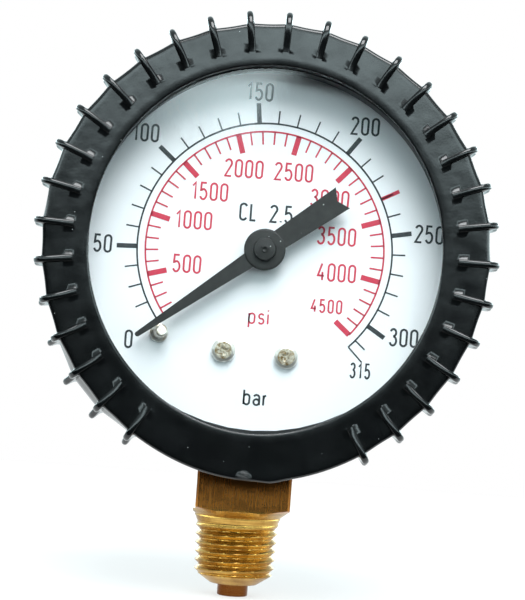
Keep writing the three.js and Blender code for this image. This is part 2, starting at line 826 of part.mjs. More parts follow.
function tubePoint(degrees) {
  const [x, z] = polar(TUBE_RADIUS, degrees);
  return [x, 0, z];
}

add("bourdon_tube", flatTube(TUBE_START, TUBE_END, 0, 32, 12), bronze());
add("tube_tip", tubeTip(), brass());

// ---------------------------------------------------------------- socket

// The thread's radius at an angle around the axis and a height. Its end is chamfered and its
// grooves run out just below the collar.
function threadRadius(angle, height) {
  const crest = THREAD_END_RADIUS + THREAD_TAPER * height;
  const phase = height / THREAD_PITCH - angle / (2 * Math.PI);
  const fromCrest = Math.abs(phase - Math.floor(phase) - 0.5) * 2;
  const runOut = THREE.MathUtils.clamp((THREAD_LENGTH - height) / THREAD_PITCH, 0, 1);
  const grooved = crest - THREAD_DEPTH * runOut * THREE.MathUtils.clamp(1.25 * (1 - fromCrest) - 0.1, 0, 1);
  const chamfer = 3.9 + 1.5 * height;
  return Math.min(grooved, chamfer);
}

function threadedEnd() {
  const overlap = 0.4;
  const length = THREAD_LENGTH + overlap;
  const bar = new THREE.CylinderGeometry(1, 1, length, 24, 30);
  bar.rotateX(Math.PI / 2).translate(0, 0, length / 2);
  const position = bar.getAttribute("position");
  for (let i = 0; i < position.count; i += 1) {
    const [x, y, z] = [position.getX(i), position.getY(i), position.getZ(i)];
    if (Math.hypot(x, y) < 0.5) continue;
    const radius = threadRadius(Math.atan2(y, x), z);
    position.setXY(i, radius * x, radius * y);
  }
  return bar;
}

// The turned shape of the collar, which also chamfers the block's lower corners.
function collarProfile(top) {
  const start = THREAD_LENGTH - 0.4;
  const profile = [[0, start], [6.7, start], [6.9, THREAD_LENGTH], [7.6, 11.5], [8.35, 12.1], ...top];
  return turned(profile, 32).rotateX(Math.PI / 2);
}

function wrenchBlock() {
  const half = BLOCK_WIDTH / 2;
  const flat = half - BLOCK_CHAMFER;
  const corner = [[half, -flat], [half, flat]];
  const turnedCorners = [0, 1, 2, 3].flatMap((quarter) =>
    corner.map(([x, y]) => {
      const turn = radians(90 * quarter);
      return [x * Math.cos(turn) - y * Math.sin(turn), x * Math.sin(turn) + y * Math.cos(turn)];
    }),
  );
  const depth = FLATS_TOP - THREAD_LENGTH;
  const prism = new THREE.ExtrudeGeometry(shapeOf(turnedCorners), { depth, bevelEnabled: false });
  prism.translate(BLOCK_SHIFT, 0, THREAD_LENGTH);
  const turnedEnd = collarProfile([[12, 13.1], [12, 30], [0, 30]]);
  return common(prism, turnedEnd);
}

function collar() {
  const right = BLOCK_SHIFT + BLOCK_WIDTH / 2;
  return common(collarProfile([[0, 12.1]]), block([COLLAR_LEFT, right], [-9, 9], [0, 20]));
}

// The block inside the case, in two steps: full depth below, and a ledge behind the movement.
function innerBlock() {
  const across = [BLOCK_SHIFT - FITTED_BLOCK, BLOCK_SHIFT + FITTED_BLOCK];
  const inCase = CASE_BACK - SHEET - TOUCH;
  const shank = block(across, [-FITTED_BLOCK, FITTED_BLOCK], [FLATS_TOP - 0.5, DIAL_HEIGHT - 27]);
  const body = block(across, [-FITTED_BLOCK, inCase], [DIAL_HEIGHT - 28, DIAL_HEIGHT - 21.5]);
  const behindPlate = BACK_PLATE_FRONT + SHEET + TOUCH;
  const ledge = block(across, [behindPlate, inCase], [DIAL_HEIGHT - 22, DIAL_HEIGHT - 15.6]);
  return join(shank, body, ledge);
}

// Pressure reaches the tube through a straight bore, a slanted one and the tube's own pocket.
function socketCuts() {
  const tubeRoot = polar(TUBE_RADIUS, TUBE_START);
  const root = [HEAD_SHIFT + tubeRoot[0], TUBE_DEPTH, DIAL_HEIGHT + tubeRoot[1]];
  const pocket = flatTube(TUBE_START - 14, TUBE_START + 0.8, 0.4, 4, SMALL);
  pocket.translate(HEAD_SHIFT, 0, DIAL_HEIGHT);
  const screwHoles = MOVEMENT_SCREWS.map(([x, z]) => {
    const at = [HEAD_SHIFT + x, DIAL_HEIGHT + z];
    return rod([at[0], -3, at[1]], [at[0], 2, at[1]], 0.85);
  });
  const caseHoles = CASE_SCREWS.map(([x, z]) => {
    const at = [HEAD_SHIFT + x, DIAL_HEIGHT + z];
    return rod([at[0], 5.2, at[1]], [at[0], 12, at[1]], 1.4);
  });
  return [
    rod([0, 0, -SPIGOT_LENGTH - 1], [0, 0, 3.4], RESTRICTOR_RADIUS + 0.1),
    rod([0, 0, 0], [0, 0, 23], BORE_RADIUS),
    rod([0, 0, 22.4], root, 0.9),
    pocket,
    ...screwHoles,
    ...caseHoles,
  ];
}

function socket() {
  const spigot = turned(
    [
      [0, 1],
      [0, -SPIGOT_LENGTH],
      [SPIGOT_RADIUS - 0.35, -SPIGOT_LENGTH],
      [SPIGOT_RADIUS, 0.4 - SPIGOT_LENGTH],
      [SPIGOT_RADIUS, 1],
      [0, 1],
    ],
    28,
  ).rotateX(Math.PI / 2);
  return cut(join(threadedEnd(), spigot, collar(), wrenchBlock(), innerBlock()), ...socketCuts());
}

// A slotted plug with a fine hole, in the spigot's bore.
function restrictorScrew() {
  const start = 0.6 - SPIGOT_LENGTH;
  const end = start + 3.6;
  const hole = 0.25;
  const plug = turned([
    [hole, start],
    [RESTRICTOR_RADIUS, start],
    [RESTRICTOR_RADIUS, end],
    [hole, end],
    [hole, start],
  ]).rotateX(Math.PI / 2);
  return cut(plug, block([-2, 2], [-0.25, 0.25], [start - 1, start + 0.7]));
}

add("socket", socket(), brass(), gauge);
add("restrictor_screw", restrictorScrew(), brass(), gauge);

export default gauge;
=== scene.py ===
"""A 63 mm pressure gauge: ribbed rubber boot, printed dial, long pointer and brass connection.

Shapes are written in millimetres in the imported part's frame and turned into metres when a mesh is
made. +Z is up, the dial faces -Y and +X is to its reader's right. Places come from the CAD boxes.
"""

import math

import bmesh
import bpy
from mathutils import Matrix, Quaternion, Vector


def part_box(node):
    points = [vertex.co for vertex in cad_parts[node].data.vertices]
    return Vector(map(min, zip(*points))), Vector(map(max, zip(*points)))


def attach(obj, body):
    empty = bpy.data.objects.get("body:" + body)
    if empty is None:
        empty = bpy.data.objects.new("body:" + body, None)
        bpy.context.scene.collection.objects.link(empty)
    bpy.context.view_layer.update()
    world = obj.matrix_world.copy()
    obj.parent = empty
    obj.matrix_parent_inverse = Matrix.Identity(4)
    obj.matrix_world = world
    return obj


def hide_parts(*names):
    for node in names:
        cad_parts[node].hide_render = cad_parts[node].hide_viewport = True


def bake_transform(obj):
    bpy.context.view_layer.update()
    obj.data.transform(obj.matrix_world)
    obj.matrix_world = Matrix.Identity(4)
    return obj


MM = 0.001

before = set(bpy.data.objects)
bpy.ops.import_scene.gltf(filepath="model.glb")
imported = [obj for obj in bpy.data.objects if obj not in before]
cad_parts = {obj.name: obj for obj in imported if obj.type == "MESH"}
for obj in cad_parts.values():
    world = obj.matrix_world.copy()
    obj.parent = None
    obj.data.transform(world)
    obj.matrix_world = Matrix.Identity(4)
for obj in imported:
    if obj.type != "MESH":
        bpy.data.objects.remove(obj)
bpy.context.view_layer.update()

# ---------------- places from the frame


def box_mm(node):
    """Lowest and highest corner of a CAD node, in millimetres."""
    low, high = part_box(node)
    return low / MM, high / MM


def middle_mm(node):
    low, high = box_mm(node)
    return (low + high) / 2


DIAL_LOW, DIAL_HIGH = box_mm("dial")
DIAL_MIDDLE = (DIAL_LOW + DIAL_HIGH) / 2
AXIS_X, AXIS_Z = DIAL_MIDDLE.x, DIAL_MIDDLE.z  # the head's axis runs along Y through this point
DIAL_FRONT = DIAL_LOW.y
BOOT_LOW, BOOT_HIGH = box_mm("rubber_boot")
WINDOW_FRONT = box_mm("window")[0].y
GASKET_LOW, GASKET_HIGH = box_mm("window_gasket")
CASE_LOW, CASE_HIGH = box_mm("case_cup")
SOCKET_LOW, SOCKET_HIGH = box_mm("socket")


def pointer_angle():
    """Where the pointer rests, in degrees anticlockwise from +X, read off its farthest vertex."""
    points = [v.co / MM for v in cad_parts["pointer"].data.vertices]
    tip = max(points, key=lambda p: math.hypot(p.x - AXIS_X, p.z - AXIS_Z))
    return math.degrees(math.atan2(tip.z - AXIS_Z, tip.x - AXIS_X)) % 360


REST_ANGLE = pointer_angle()

# ---------------- driving dimensions, millimetres

LIP_RADIUS = 27.85
LIP_BACK = WINDOW_FRONT - 0.7
RIB_FRONT = BOOT_LOW.y
FACE_FRONT = RIB_FRONT + 0.7
BOOT_BACK = BOOT_HIGH.y
BOOT_RADIUS = 34.7
RIB_RADIUS = 36.4
REAR_LOBE_RADIUS = (BOOT_HIGH.x - BOOT_LOW.x) / 2
RIB_LOW_RADIUS = 35.8
RIB_START = 30.2
RIB_STEP = 10
NOMINAL_ANGLES = [RIB_STEP * i - 60 for i in range(31)]
BACK_OPENING = 24.5

SCALE_TOP = 157.5  # bar at the top of the dial
DEGREES_PER_BAR = 0.857
PSI_PER_BAR = 14.504
SCALE_END = 315
INK = 0.03  # how far the print stands off the dial

THREAD_LENGTH = 10.3
THREAD_PITCH = 1.411
THREAD_END_RADIUS = 6.45
THREAD_TAPER = 1 / 32
THREAD_DEPTH = 0.64
SPIGOT_RADIUS = 2.5
BLOCK_WIDTH = 15.2
BLOCK_SHIFT = 0.7
BLOCK_CHAMFER = 0.4
FLATS_TOP = 18.9

# ---------------- mesh helpers


def polar(radius, degrees):
    """A point (across, up) around the head's axis."""
    angle = math.radians(degrees)
    return radius * math.cos(angle), radius * math.sin(angle)


def smoothstep(low, high, value):
    t = min(1.0, max(0.0, (value - low) / (high - low)))
    return t * t * (3 - 2 * t)


def bell(value, centre, width):
    return math.exp(-(((value - centre) / width) ** 2))


def make_piece(name, vertices, faces, material, body="housing", crease=35):
    """A smooth-shaded mesh object from points in millimetres. It rides on a body if one is given."""
    mesh = bpy.data.meshes.new(name)
    mesh.from_pydata([Vector(v) * MM for v in vertices], [], faces)
    piece = bpy.data.objects.new(name, mesh)
    bpy.context.scene.collection.objects.link(piece)
    tidy_mesh(piece)
    shade(piece, crease)
    mesh.materials.append(material)
    if body:
        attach(piece, body)
    return piece


def tidy_mesh(piece):
    """Welds touching vertices and turns every face outwards."""
    editable = bmesh.new()
    editable.from_mesh(piece.data)
    bmesh.ops.remove_doubles(editable, verts=editable.verts, dist=1e-7)
    bmesh.ops.recalc_face_normals(editable, faces=editable.faces)
    editable.to_mesh(piece.data)
    editable.free()


def shade(piece, crease):
    piece.data.shade_smooth()
    piece.data.set_sharp_from_angle(angle=math.radians(crease))


def loft(rings, closed_profile):
    """Faces between rings of points. Each ring closes on itself."""
    vertices = [point for ring in rings for point in ring]
    count = len(rings[0])
    faces = []
    last = len(rings) if closed_profile else len(rings) - 1
    for i in range(last):
        here, there = i * count, ((i + 1) % len(rings)) * count
        for k in range(count):
            after = (k + 1) % count
            faces.append((here + k, here + after, there + after, there + k))
    return vertices, faces


def lathe(profile, segments, axis=(0.0, 0.0), along="Y"):
    """A turned shape. profile holds (radius, place along the axis), and starts and ends on it."""
    rings = []
    for radius, place in profile:
        ring = []
        for k in range(segments):
            first, second = polar(radius, 360 * k / segments)
            if along == "Y":
                ring.append((axis[0] + first, place, axis[1] + second))
            else:
                ring.append((axis[0] + first, axis[1] + second, place))
        rings.append(ring)
    return loft(rings, closed_profile=False)


def rounded(points, radius, steps=4, closed=False):
    """The same outline with each inner corner turned into a short curve of this size."""
    count = len(points)
    result = []
    for i, corner in enumerate(points):
        if not closed and i in (0, count - 1):
            result.append(corner)
            continue
        here = Vector(corner)
        before = Vector(points[(i - 1) % count]) - here
        after = Vector(points[(i + 1) % count]) - here
        reach = min(radius, before.length * 0.45, after.length * 0.45)
        start, end = here + before.normalized() * reach, here + after.normalized() * reach
        for k in range(steps + 1):
            t = k / steps
            point = start * (1 - t) ** 2 + here * (2 * t * (1 - t)) + end * t**2
            result.append((point.x, point.y))
    return result


def turn_and_place(piece, degrees, at):
    """Turns a piece built around the origin about Y, then moves it to (x, z)."""
    angle = math.radians(degrees)
    for vertex in piece.data.vertices:
        x, z = vertex.co.x, vertex.co.z
        vertex.co.x = at[0] * MM + x * math.cos(angle) - z * math.sin(angle)
        vertex.co.z = at[1] * MM + x * math.sin(angle) + z * math.cos(angle)


def turned_piece(name, profile, material, at, body="housing", segments=48, rounding=0.15):
    """A turned piece along Y with softened corners. at is the (x, z) of its axis."""
    return make_piece(name, *lathe(rounded(profile, rounding), segments, at), material, body)


def box_mesh(x, y, z):
    """Vertices and faces of a box between pairs of limits."""
    vertices = [(a, b, c) for a in x for b in y for c in z]
    faces = [(0, 1, 3, 2), (4, 6, 7, 5), (0, 4, 5, 1), (2, 3, 7, 6), (0, 2, 6, 4), (1, 5, 7, 3)]
    return vertices, faces


def prism(outline, low, high, along="Z"):
    """A flat outline given a thickness along Z or Y."""
    count = len(outline)
    if along == "Z":
        vertices = [(x, y, level) for level in (low, high) for x, y in outline]
    else:
        vertices = [(x, level, z) for level in (low, high) for x, z in outline]
    faces = [tuple(range(count)), tuple(range(2 * count - 1, count - 1, -1))]
    for k in range(count):
        after = (k + 1) % count
        faces.append((k, after, count + after, count + k))
    return vertices, faces


def combine(base, operation, tools):
    """Joins, cuts or intersects a piece with other pieces, which are then gone."""
    for tool in tools:
        modifier = base.modifiers.new("combine", "BOOLEAN")
        modifier.operation = operation
        modifier.solver = "EXACT"
        modifier.object = tool
    bpy.context.view_layer.update()
    evaluated = base.evaluated_get(bpy.context.evaluated_depsgraph_get())
    mesh = bpy.data.meshes.new_from_object(evaluated)
    base.modifiers.clear()
    base.data = mesh
    for tool in tools:
        bpy.data.objects.remove(tool)


def soften(piece, width, crease=30):
    """Rounds the sharp edges of a piece with a bevel."""
    bevel = piece.modifiers.new("edges", "BEVEL")
    bevel.width = width * MM
    bevel.segments = 2
    bevel.limit_method = "ANGLE"
    bevel.angle_limit = math.radians(crease)
    bevel.harden_normals = True


def block_notch(low, high, material):
    """A cutter for the opening through which the square block enters the head."""
    half = BLOCK_WIDTH / 2 + 0.2
    across = (BLOCK_SHIFT - half, BLOCK_SHIFT + half)
    return make_piece("notch", *box_mesh(across, (-half, half), (low, high)), material, None)


# ---------------- material helpers


def new_material(name, colour, roughness, **sockets):
    material = bpy.data.materials.new(name)
    material.use_nodes = True
    shader = material.node_tree.nodes["Principled BSDF"]
    shader.inputs["Base Color"].default_value = (*colour, 1)
    shader.inputs["Roughness"].default_value = roughness
    for socket, value in sockets.items():
        shader.inputs[socket.replace("_", " ")].default_value = value
    return material


def add_node(material, kind, inputs, **settings):
    made = material.node_tree.nodes.new(kind)
    for key, value in settings.items():
        setattr(made, key, value)
    for socket, value in inputs.items():
        if isinstance(value, bpy.types.NodeSocket):
            material.node_tree.links.new(value, made.inputs[socket])
        else:
            made.inputs[socket].default_value = value
    return made


def shader_of(material):
    return material.node_tree.nodes["Principled BSDF"]


def drive(material, socket, source):
    material.node_tree.links.new(source, shader_of(material).inputs[socket])


def placed(material, grain, stretch=(1, 1, 1)):
    """Object coordinates scaled so that one unit is a grain of this many millimetres."""
    coordinates = add_node(material, "ShaderNodeTexCoord", {})
    scale = [1 / (grain * MM * s) for s in stretch]
    inputs = {"Vector": coordinates.outputs["Object"], "Scale": scale}
    return add_node(material, "ShaderNodeMapping", inputs).outputs["Vector"]


def coordinate(material, axis, kind="Object"):
    """One axis of the surface's place or direction."""
    coordinates = add_node(material, "ShaderNodeTexCoord", {}).outputs[kind]
    return add_node(material, "ShaderNodeSeparateXYZ", {"Vector": coordinates}).outputs[axis]


def maths(material, operation, first, second):
    return add_node(material, "ShaderNodeMath", {0: first, 1: second}, operation=operation).outputs[0]


def noise(material, grain, detail=3.0, rough=0.5, stretch=(1, 1, 1)):
    vector = placed(material, grain, stretch)
    inputs = {"Vector": vector, "Scale": 1.0, "Detail": detail, "Roughness": rough}
    return add_node(material, "ShaderNodeTexNoise", inputs).outputs["Fac"]


def remap(material, value, from_low, from_high, to_low=0.0, to_high=1.0, ramp="LINEAR"):
    limits = {"From Min": from_low, "From Max": from_high, "To Min": to_low, "To Max": to_high}
    inputs = {"Value": value, **limits}
    return add_node(material, "ShaderNodeMapRange", inputs, interpolation_type=ramp).outputs["Result"]


def blend_colours(material, factor, first, second):
    """first where factor is 0 and second where it is 1. Each is a colour or a socket."""
    mix = add_node(material, "ShaderNodeMix", {}, data_type="RGBA")
    sockets = {0: factor, 6: first, 7: second}
    for index, value in sockets.items():
        if isinstance(value, bpy.types.NodeSocket):
            material.node_tree.links.new(value, mix.inputs[index])
        elif isinstance(value, (int, float)):
            mix.inputs[index].default_value = value
        else:
            mix.inputs[index].default_value = (*value, 1)
    return mix.outputs[2]


def mottle(material, grain, low=0.0, high=1.0, detail=3.0, rough=0.5):
    """Noise spread between two values."""
    return remap(material, noise(material, grain, detail, rough), 0.3, 0.7, low, high)


def paint(material, factor, first, second):
    """Drives the base colour with a blend."""
    drive(material, "Base Color", blend_colours(material, factor, first, second))


def bump(material, height, depth, normal=None):
    """Surface relief of this many millimetres."""
    inputs = {"Height": height, "Distance": depth * MM, "Strength": 1.0}
    if normal is not None:
        inputs["Normal"] = normal
    return add_node(material, "ShaderNodeBump", inputs).outputs["Normal"]


def roughen(material, grain, depth, detail=3.0):
    """Relief of fine grains over the whole surface."""
    drive(material, "Normal", bump(material, noise(material, grain, detail), depth))


def specks(material, spacing, size):
    """1 on a few small spots, scattered about one to each cell of this spacing."""
    vector = placed(material, spacing)
    cells = add_node(material, "ShaderNodeTexVoronoi", {"Vector": vector, "Scale": 1.0})
    return remap(material, cells.outputs["Distance"], size, size * 0.6)


# ---------------- materials


def patch(material, centre, radius):
    """1 in the middle of a small patch around a point in millimetres, 0 at its rim."""
    coordinates = add_node(material, "ShaderNodeTexCoord", {}).outputs["Object"]
    away = {0: coordinates, 1: [c * MM for c in centre]}
    distance = add_node(material, "ShaderNodeVectorMath", away, operation="DISTANCE").outputs["Value"]
    return remap(material, distance, radius * MM, radius * 0.35 * MM)


def rubber_material():
    material = new_material("black_rubber", (0.002, 0.0022, 0.0024), 0.17)
    clouds = noise(material, 9.0, detail=5.0)
    film = remap(material, clouds, 0.35, 0.75)
    skin = blend_colours(material, film, (0.0015, 0.0018, 0.002), (0.003, 0.0036, 0.004))
    paint(material, specks(material, 2.6, 0.032), skin, (0.3, 0.32, 0.32))
    drive(material, "Roughness", mottle(material, 3.0, 0.14, 0.2, 4.0))
    grain = bump(material, noise(material, 0.35, 3.0), 0.004)
    waves = bump(material, noise(material, 5.0, 2.0), 0.05, grain)
    # A scuffed spot where the boot has been dragged, at the bottom of its front edge.
    across, up = polar(35.8, 268.8)
    worn = patch(material, (AXIS_X + across, FACE_FRONT + 0.6, AXIS_Z + up), 1.5)
    crumpled = noise(material, 0.6, 5.0, 0.7)
    relief = maths(material, "MULTIPLY", crumpled, worn)
    drive(material, "Normal", bump(material, relief, 0.5, waves))
    return material


def gasket_material():
    material = new_material("gasket_rubber", (0.02, 0.022, 0.024), 0.5)
    roughen(material, 0.5, 0.01)
    paint(material, mottle(material, 4.0), (0.004, 0.005, 0.005), (0.008, 0.009, 0.01))
    return material


def black_steel_material():
    material = new_material("black_paint", (0.012, 0.012, 0.013), 0.35)
    roughen(material, 0.8, 0.01, 2.0)
    drive(material, "Roughness", mottle(material, 6.0, 0.28, 0.42))
    return material


def brass_material(name, light, dark, roughness, lines=(1, 1, 1), split=None):
    """Brass with uneven tarnish and fine tool lines. lines stretches the lines along an axis. With
    split, the lines below that height run around Z instead, and the colour turns dark brown towards
    both ends."""
    material = new_material(name, light, roughness, Metallic=1.0)
    tarnish = remap(material, noise(material, 3.5, 5.0, 0.6), 0.35, 0.7)
    streaks = noise(material, 0.16, 3.0, 0.6, lines)
    if split is not None:
        around = noise(material, 0.16, 3.0, 0.6, (60, 60, 1))
        height = coordinate(material, "Z")
        upper = remap(material, height, split * MM, (split + 0.6) * MM)
        streaks = blend_colours(material, upper, around, streaks)
    depth = remap(material, streaks, 0.3, 0.7)
    worn = maths(material, "ADD", tarnish, depth)
    colour = blend_colours(material, remap(material, worn, 0.4, 1.6), light, dark)
    if split is not None:
        # The colour turns dark brown towards both ends, under the boot and on the spigot.
        boot_end = remap(material, height, (split + 0.3) * MM, FLATS_TOP * MM)
        spigot_end = remap(material, height, 0.3 * MM, -0.3 * MM)
        ends = maths(material, "MAXIMUM", boot_end, spigot_end)
        flats = blend_colours(material, upper, colour, (0.62, 0.24, 0.05))
        darkened_ends = remap(material, ends, 0, 1, 0.0, 0.9)
        colour = blend_colours(material, darkened_ends, flats, (0.14, 0.034, 0.007))
    drive(material, "Base Color", colour)
    drive(material, "Roughness", remap(material, worn, 0.0, 2.0, roughness * 0.8, roughness * 1.4))
    drive(material, "Normal", bump(material, streaks, 0.003))
    return material


def steel_material(name, colour, roughness):
    material = new_material(name, colour, roughness, Metallic=1.0)
    roughen(material, 0.3, 0.004)
    drive(material, "Roughness", mottle(material, 1.0, roughness * 0.8, roughness * 1.4))
    return material


def stained_nickel_material():
    """Nickel plate with fine brown stains on the flat front, and a clean side."""
    material = new_material("stained_nickel", (0.8, 0.74, 0.62), 0.4, Metallic=0.85)
    fine = remap(material, noise(material, 0.5, 5.0, 0.7), 0.36, 0.6)
    speckled = blend_colours(material, fine, (0.85, 0.8, 0.68), (0.24, 0.15, 0.05))
    flat = remap(material, coordinate(material, "Y", "Normal"), -0.93, -0.98)
    paint(material, flat, (0.88, 0.85, 0.78), speckled)
    drive(material, "Roughness", mottle(material, 0.4, 0.3, 0.5))
    roughen(material, 0.3, 0.03, 4.0)
    return material


def pale_nickel_material():
    """Clean pale nickel with a little warm stain."""
    material = new_material("pale_nickel", (0.86, 0.83, 0.77), 0.3, Metallic=0.75)
    stain = remap(material, noise(material, 0.7, 4.0), 0.45, 0.7)
    paint(material, stain, (0.9, 0.87, 0.8), (0.6, 0.5, 0.36))
    roughen(material, 0.4, 0.008)
    return material


def dial_material():
    material = new_material("white_enamel", (0.86, 0.88, 0.9), 0.5)
    paint(material, mottle(material, 12.0), (0.9, 0.91, 0.92), (0.93, 0.94, 0.95))
    roughen(material, 0.4, 0.002)
    return material


def ink_material(name, colour):
    material = new_material(name, colour, 0.55)
    worn = remap(material, noise(material, 0.5), 0.4, 0.8)
    paler = tuple(c * 0.85 + 0.03 for c in colour)
    paint(material, worn, colour, paler)
    return material


def pointer_material():
    material = new_material("grey_paint", (0.055, 0.06, 0.058), 0.55)
    clouds = mottle(material, 1.4, detail=5.0, rough=0.6)
    skin = blend_colours(material, clouds, (0.008, 0.009, 0.0085), (0.02, 0.021, 0.019))
    paint(material, specks(material, 1.9, 0.06), skin, (0.6, 0.62, 0.6))
    roughen(material, 0.3, 0.015)
    return material


def pane_warp(material):
    """The moulded pane is faintly twisted, so its mirror image tilts from one side to the other."""
    across = remap(material, coordinate(material, "X"), (AXIS_X - 3) * MM, (AXIS_X + 27) * MM)
    up = remap(material, coordinate(material, "Z"), (AXIS_Z - 30) * MM, (AXIS_Z + 30) * MM, -1, 1)
    twist = maths(material, "MULTIPLY", across, up)
    streaks = maths(material, "MULTIPLY", noise(material, 3.0, 4.0, 0.6, (1, 1, 5)), 0.02)
    return bump(material, maths(material, "ADD", twist, streaks), 2.2)


def glass_material():
    """A clear pane that lets light through straight and mirrors more at grazing angles."""
    mirrored_head_on = 0.039
    material = bpy.data.materials.new("clear_window")
    material.use_nodes = True
    tree = material.node_tree
    tree.nodes.remove(tree.nodes["Principled BSDF"])
    clear = add_node(material, "ShaderNodeBsdfTransparent", {"Color": (0.985, 0.992, 0.995, 1)})
    haze = remap(material, noise(material, 6.0, 4.0), 0.3, 0.8, 0.015, 0.06)
    mirror = {"Roughness": haze, "Normal": pane_warp(material)}
    gloss = add_node(material, "ShaderNodeBsdfGlossy", mirror)
    facing = add_node(material, "ShaderNodeLayerWeight", {"Blend": 0.5}).outputs["Facing"]
    grazing = maths(material, "POWER", facing, 5.0)
    share = remap(material, grazing, 0, 1, mirrored_head_on, 1)
    inputs = {0: share, 1: clear.outputs[0], 2: gloss.outputs[0]}
    mix = add_node(material, "ShaderNodeMixShader", inputs)
    tree.links.new(mix.outputs[0], tree.nodes["Material Output"].inputs["Surface"])
    return material


RUBBER = rubber_material()
GASKET = gasket_material()
BLACK_STEEL = black_steel_material()
ALONG_X, ALONG_Z = (40, 1, 1), (1, 1, 60)
BRASS = brass_material("worn_brass", (0.64, 0.39, 0.1), (0.3, 0.14, 0.025), 0.24, ALONG_Z, 12)
PLATE_BRASS = brass_material("stamped_brass", (0.83, 0.62, 0.28), (0.62, 0.42, 0.17), 0.32, ALONG_X)
BRONZE = brass_material("drawn_bronze", (0.62, 0.38, 0.2), (0.4, 0.23, 0.12), 0.34)
STEEL = steel_material("turned_steel", (0.58, 0.59, 0.6), 0.3)
NICKEL = stained_nickel_material()
PALE_NICKEL = pale_nickel_material()
ENAMEL = dial_material()
BLACK_INK = ink_material("black_ink", (0.02, 0.028, 0.032))
RED_INK = ink_material("red_ink", (0.62, 0.03, 0.07))
POINTER_GREY = pointer_material()
GLASS = glass_material()

# ---------------- rubber boot


def boot_stations():
    """Places around the boot's section, front lip first. Each is (plain point, ribbed point,
    half a rib's width at its crest, and at its root), with points as (radius, depth)."""
    face, front, back = FACE_FRONT, RIB_FRONT, BOOT_BACK
    on_face, outside = (0.46, 0.56), (0.5, 0.66)
    stations = []

    def plain(points, widths=on_face):
        for point in points:
            stations.append((point, point, *widths))

    lip = [(LIP_RADIUS, LIP_BACK), (LIP_RADIUS, face + 0.22), (LIP_RADIUS + 0.05, face + 0.08)]
    plain([*lip, (LIP_RADIUS + 0.14, face + 0.02), (LIP_RADIUS + 0.3, face)])
    plain([(29.2, face), (RIB_START - 0.35, face), (RIB_START - 0.05, face)])

    # On the face a rib rises outwards, so that its front leans towards the middle.
    face_end, crest_end = 34.2, 34.5
    for i in range(9):
        t = i / 8
        height = 0.28 + 0.42 * smoothstep(0, 1, t * 1.15)
        radius = RIB_START + (face_end - RIB_START) * t
        rib_radius = RIB_START + (crest_end - RIB_START) * t
        stations.append(((radius, face), (rib_radius, face - height), *on_face))

    # Round the outer edge, where the rib stands out as a fin.
    edge, fin = 0.6, RIB_RADIUS - crest_end
    for i in range(1, 8):
        angle = math.radians(90 * i / 8)
        plain_point = (face_end + edge * math.sin(angle), face + edge * (1 - math.cos(angle)))
        depth = front + 2.4 * (1 - math.cos(angle))
        fin_point = (crest_end + fin * math.sin(angle), depth)
        share = smoothstep(0, 5, i)
        widths = [a + (b - a) * share for a, b in zip(on_face, outside)]
        stations.append((plain_point, fin_point, *widths))

    # Along the side the fin dips, rises in a second, higher lobe, and rises again at the back.
    side = [front + 2.6 + 0.55 * i for i in range(20)]
    side += [front + 14.5 + 1.6 * i for i in range(7)]
    side += [back - 5 + 0.7 * i for i in range(5)]
    for depth in side:
        barrel = 0.18 * math.sin(math.pi * (depth - front) / (back - front))
        front_lobe = (RIB_RADIUS - RIB_LOW_RADIUS) * bell(depth, front + 2.3, 1.5)
        rear_lobe = (REAR_LOBE_RADIUS - RIB_LOW_RADIUS) * bell(depth, front + 8.8, 2.0)
        back_lobe = (RIB_RADIUS - RIB_LOW_RADIUS) * bell(depth, back - 3, 1.6)
        crest = RIB_LOW_RADIUS + front_lobe + rear_lobe + back_lobe
        stations.append(((BOOT_RADIUS + barrel, depth), (crest, depth), *outside))

    # The back edge and the flat back, with the opening for the case.
    for i in range(1, 7):
        angle = math.radians(90 * i / 6)
        plain_point = (BOOT_RADIUS - 1.5 + 1.5 * math.cos(angle), back - 1.5 + 1.5 * math.sin(angle))
        fin_point = (BOOT_RADIUS - 1.5 + 2.8 * math.cos(angle), back - 1.7 + 1.7 * math.sin(angle))
        stations.append((plain_point, fin_point, *outside))
    inside = CASE_HIGH.y + 0.3
    plain([(31.5, back), (29.0, back), (26.5, back), (BACK_OPENING + 0.5, back)])
    plain([(BACK_OPENING + 0.15, back - 0.12), (BACK_OPENING, back - 0.45)])
    plain([(BACK_OPENING, inside + 0.3), (BACK_OPENING, inside), (27.5, inside), (30.3, inside)])
    plain([(31.3, inside - 1.2), (31.3, 0.0), (31.3, -9.2), (32.1, -9.2), (32.1, LIP_BACK)])
    plain([(30.0, LIP_BACK)])
    return stations


def rib_angles():
    """The ribs stand 10 degrees apart on rubber that is a little stretched round to one side."""
    return [a - 1.6 + 1.4 * math.cos(math.radians(a + 15)) for a in NOMINAL_ANGLES]


def boot_columns():
    """Places around the boot: (middle of the rib or gap, step across it, share of the gap, height,
    angle of the gap). step counts 1 at the crest's edge and 2 at the root."""
    angles = rib_angles()
    crest = [(0.0, 1.0), (0.4, 0.985), (0.7, 0.93), (0.9, 0.84), (1.0, 0.72)]
    crest += [(1.15, 0.47), (1.4, 0.2), (2.0, 0.0)]
    columns = []
    for i, angle in enumerate(angles):
        span = (angles[(i + 1) % len(angles)] - angle) % 360
        for step, height in reversed(crest[1:]):
            columns.append((angle, -step, 0.0, height, span))
        for step, height in crest:
            columns.append((angle, step, 0.0, height, span))
        count = round(span / 2)
        for k in range(1, count):
            columns.append((angle, 2.0, k / count, 0.0, span))
    return columns


def lip_stretch(degrees):
    """How far the lip is pulled out: the rubber is slightly oval and hangs at the bottom."""
    angle = math.radians(degrees)
    return 0.12 * math.cos(angle) - 0.45 * math.cos(2 * angle) + 0.45 * bell(degrees % 360, 269, 28)


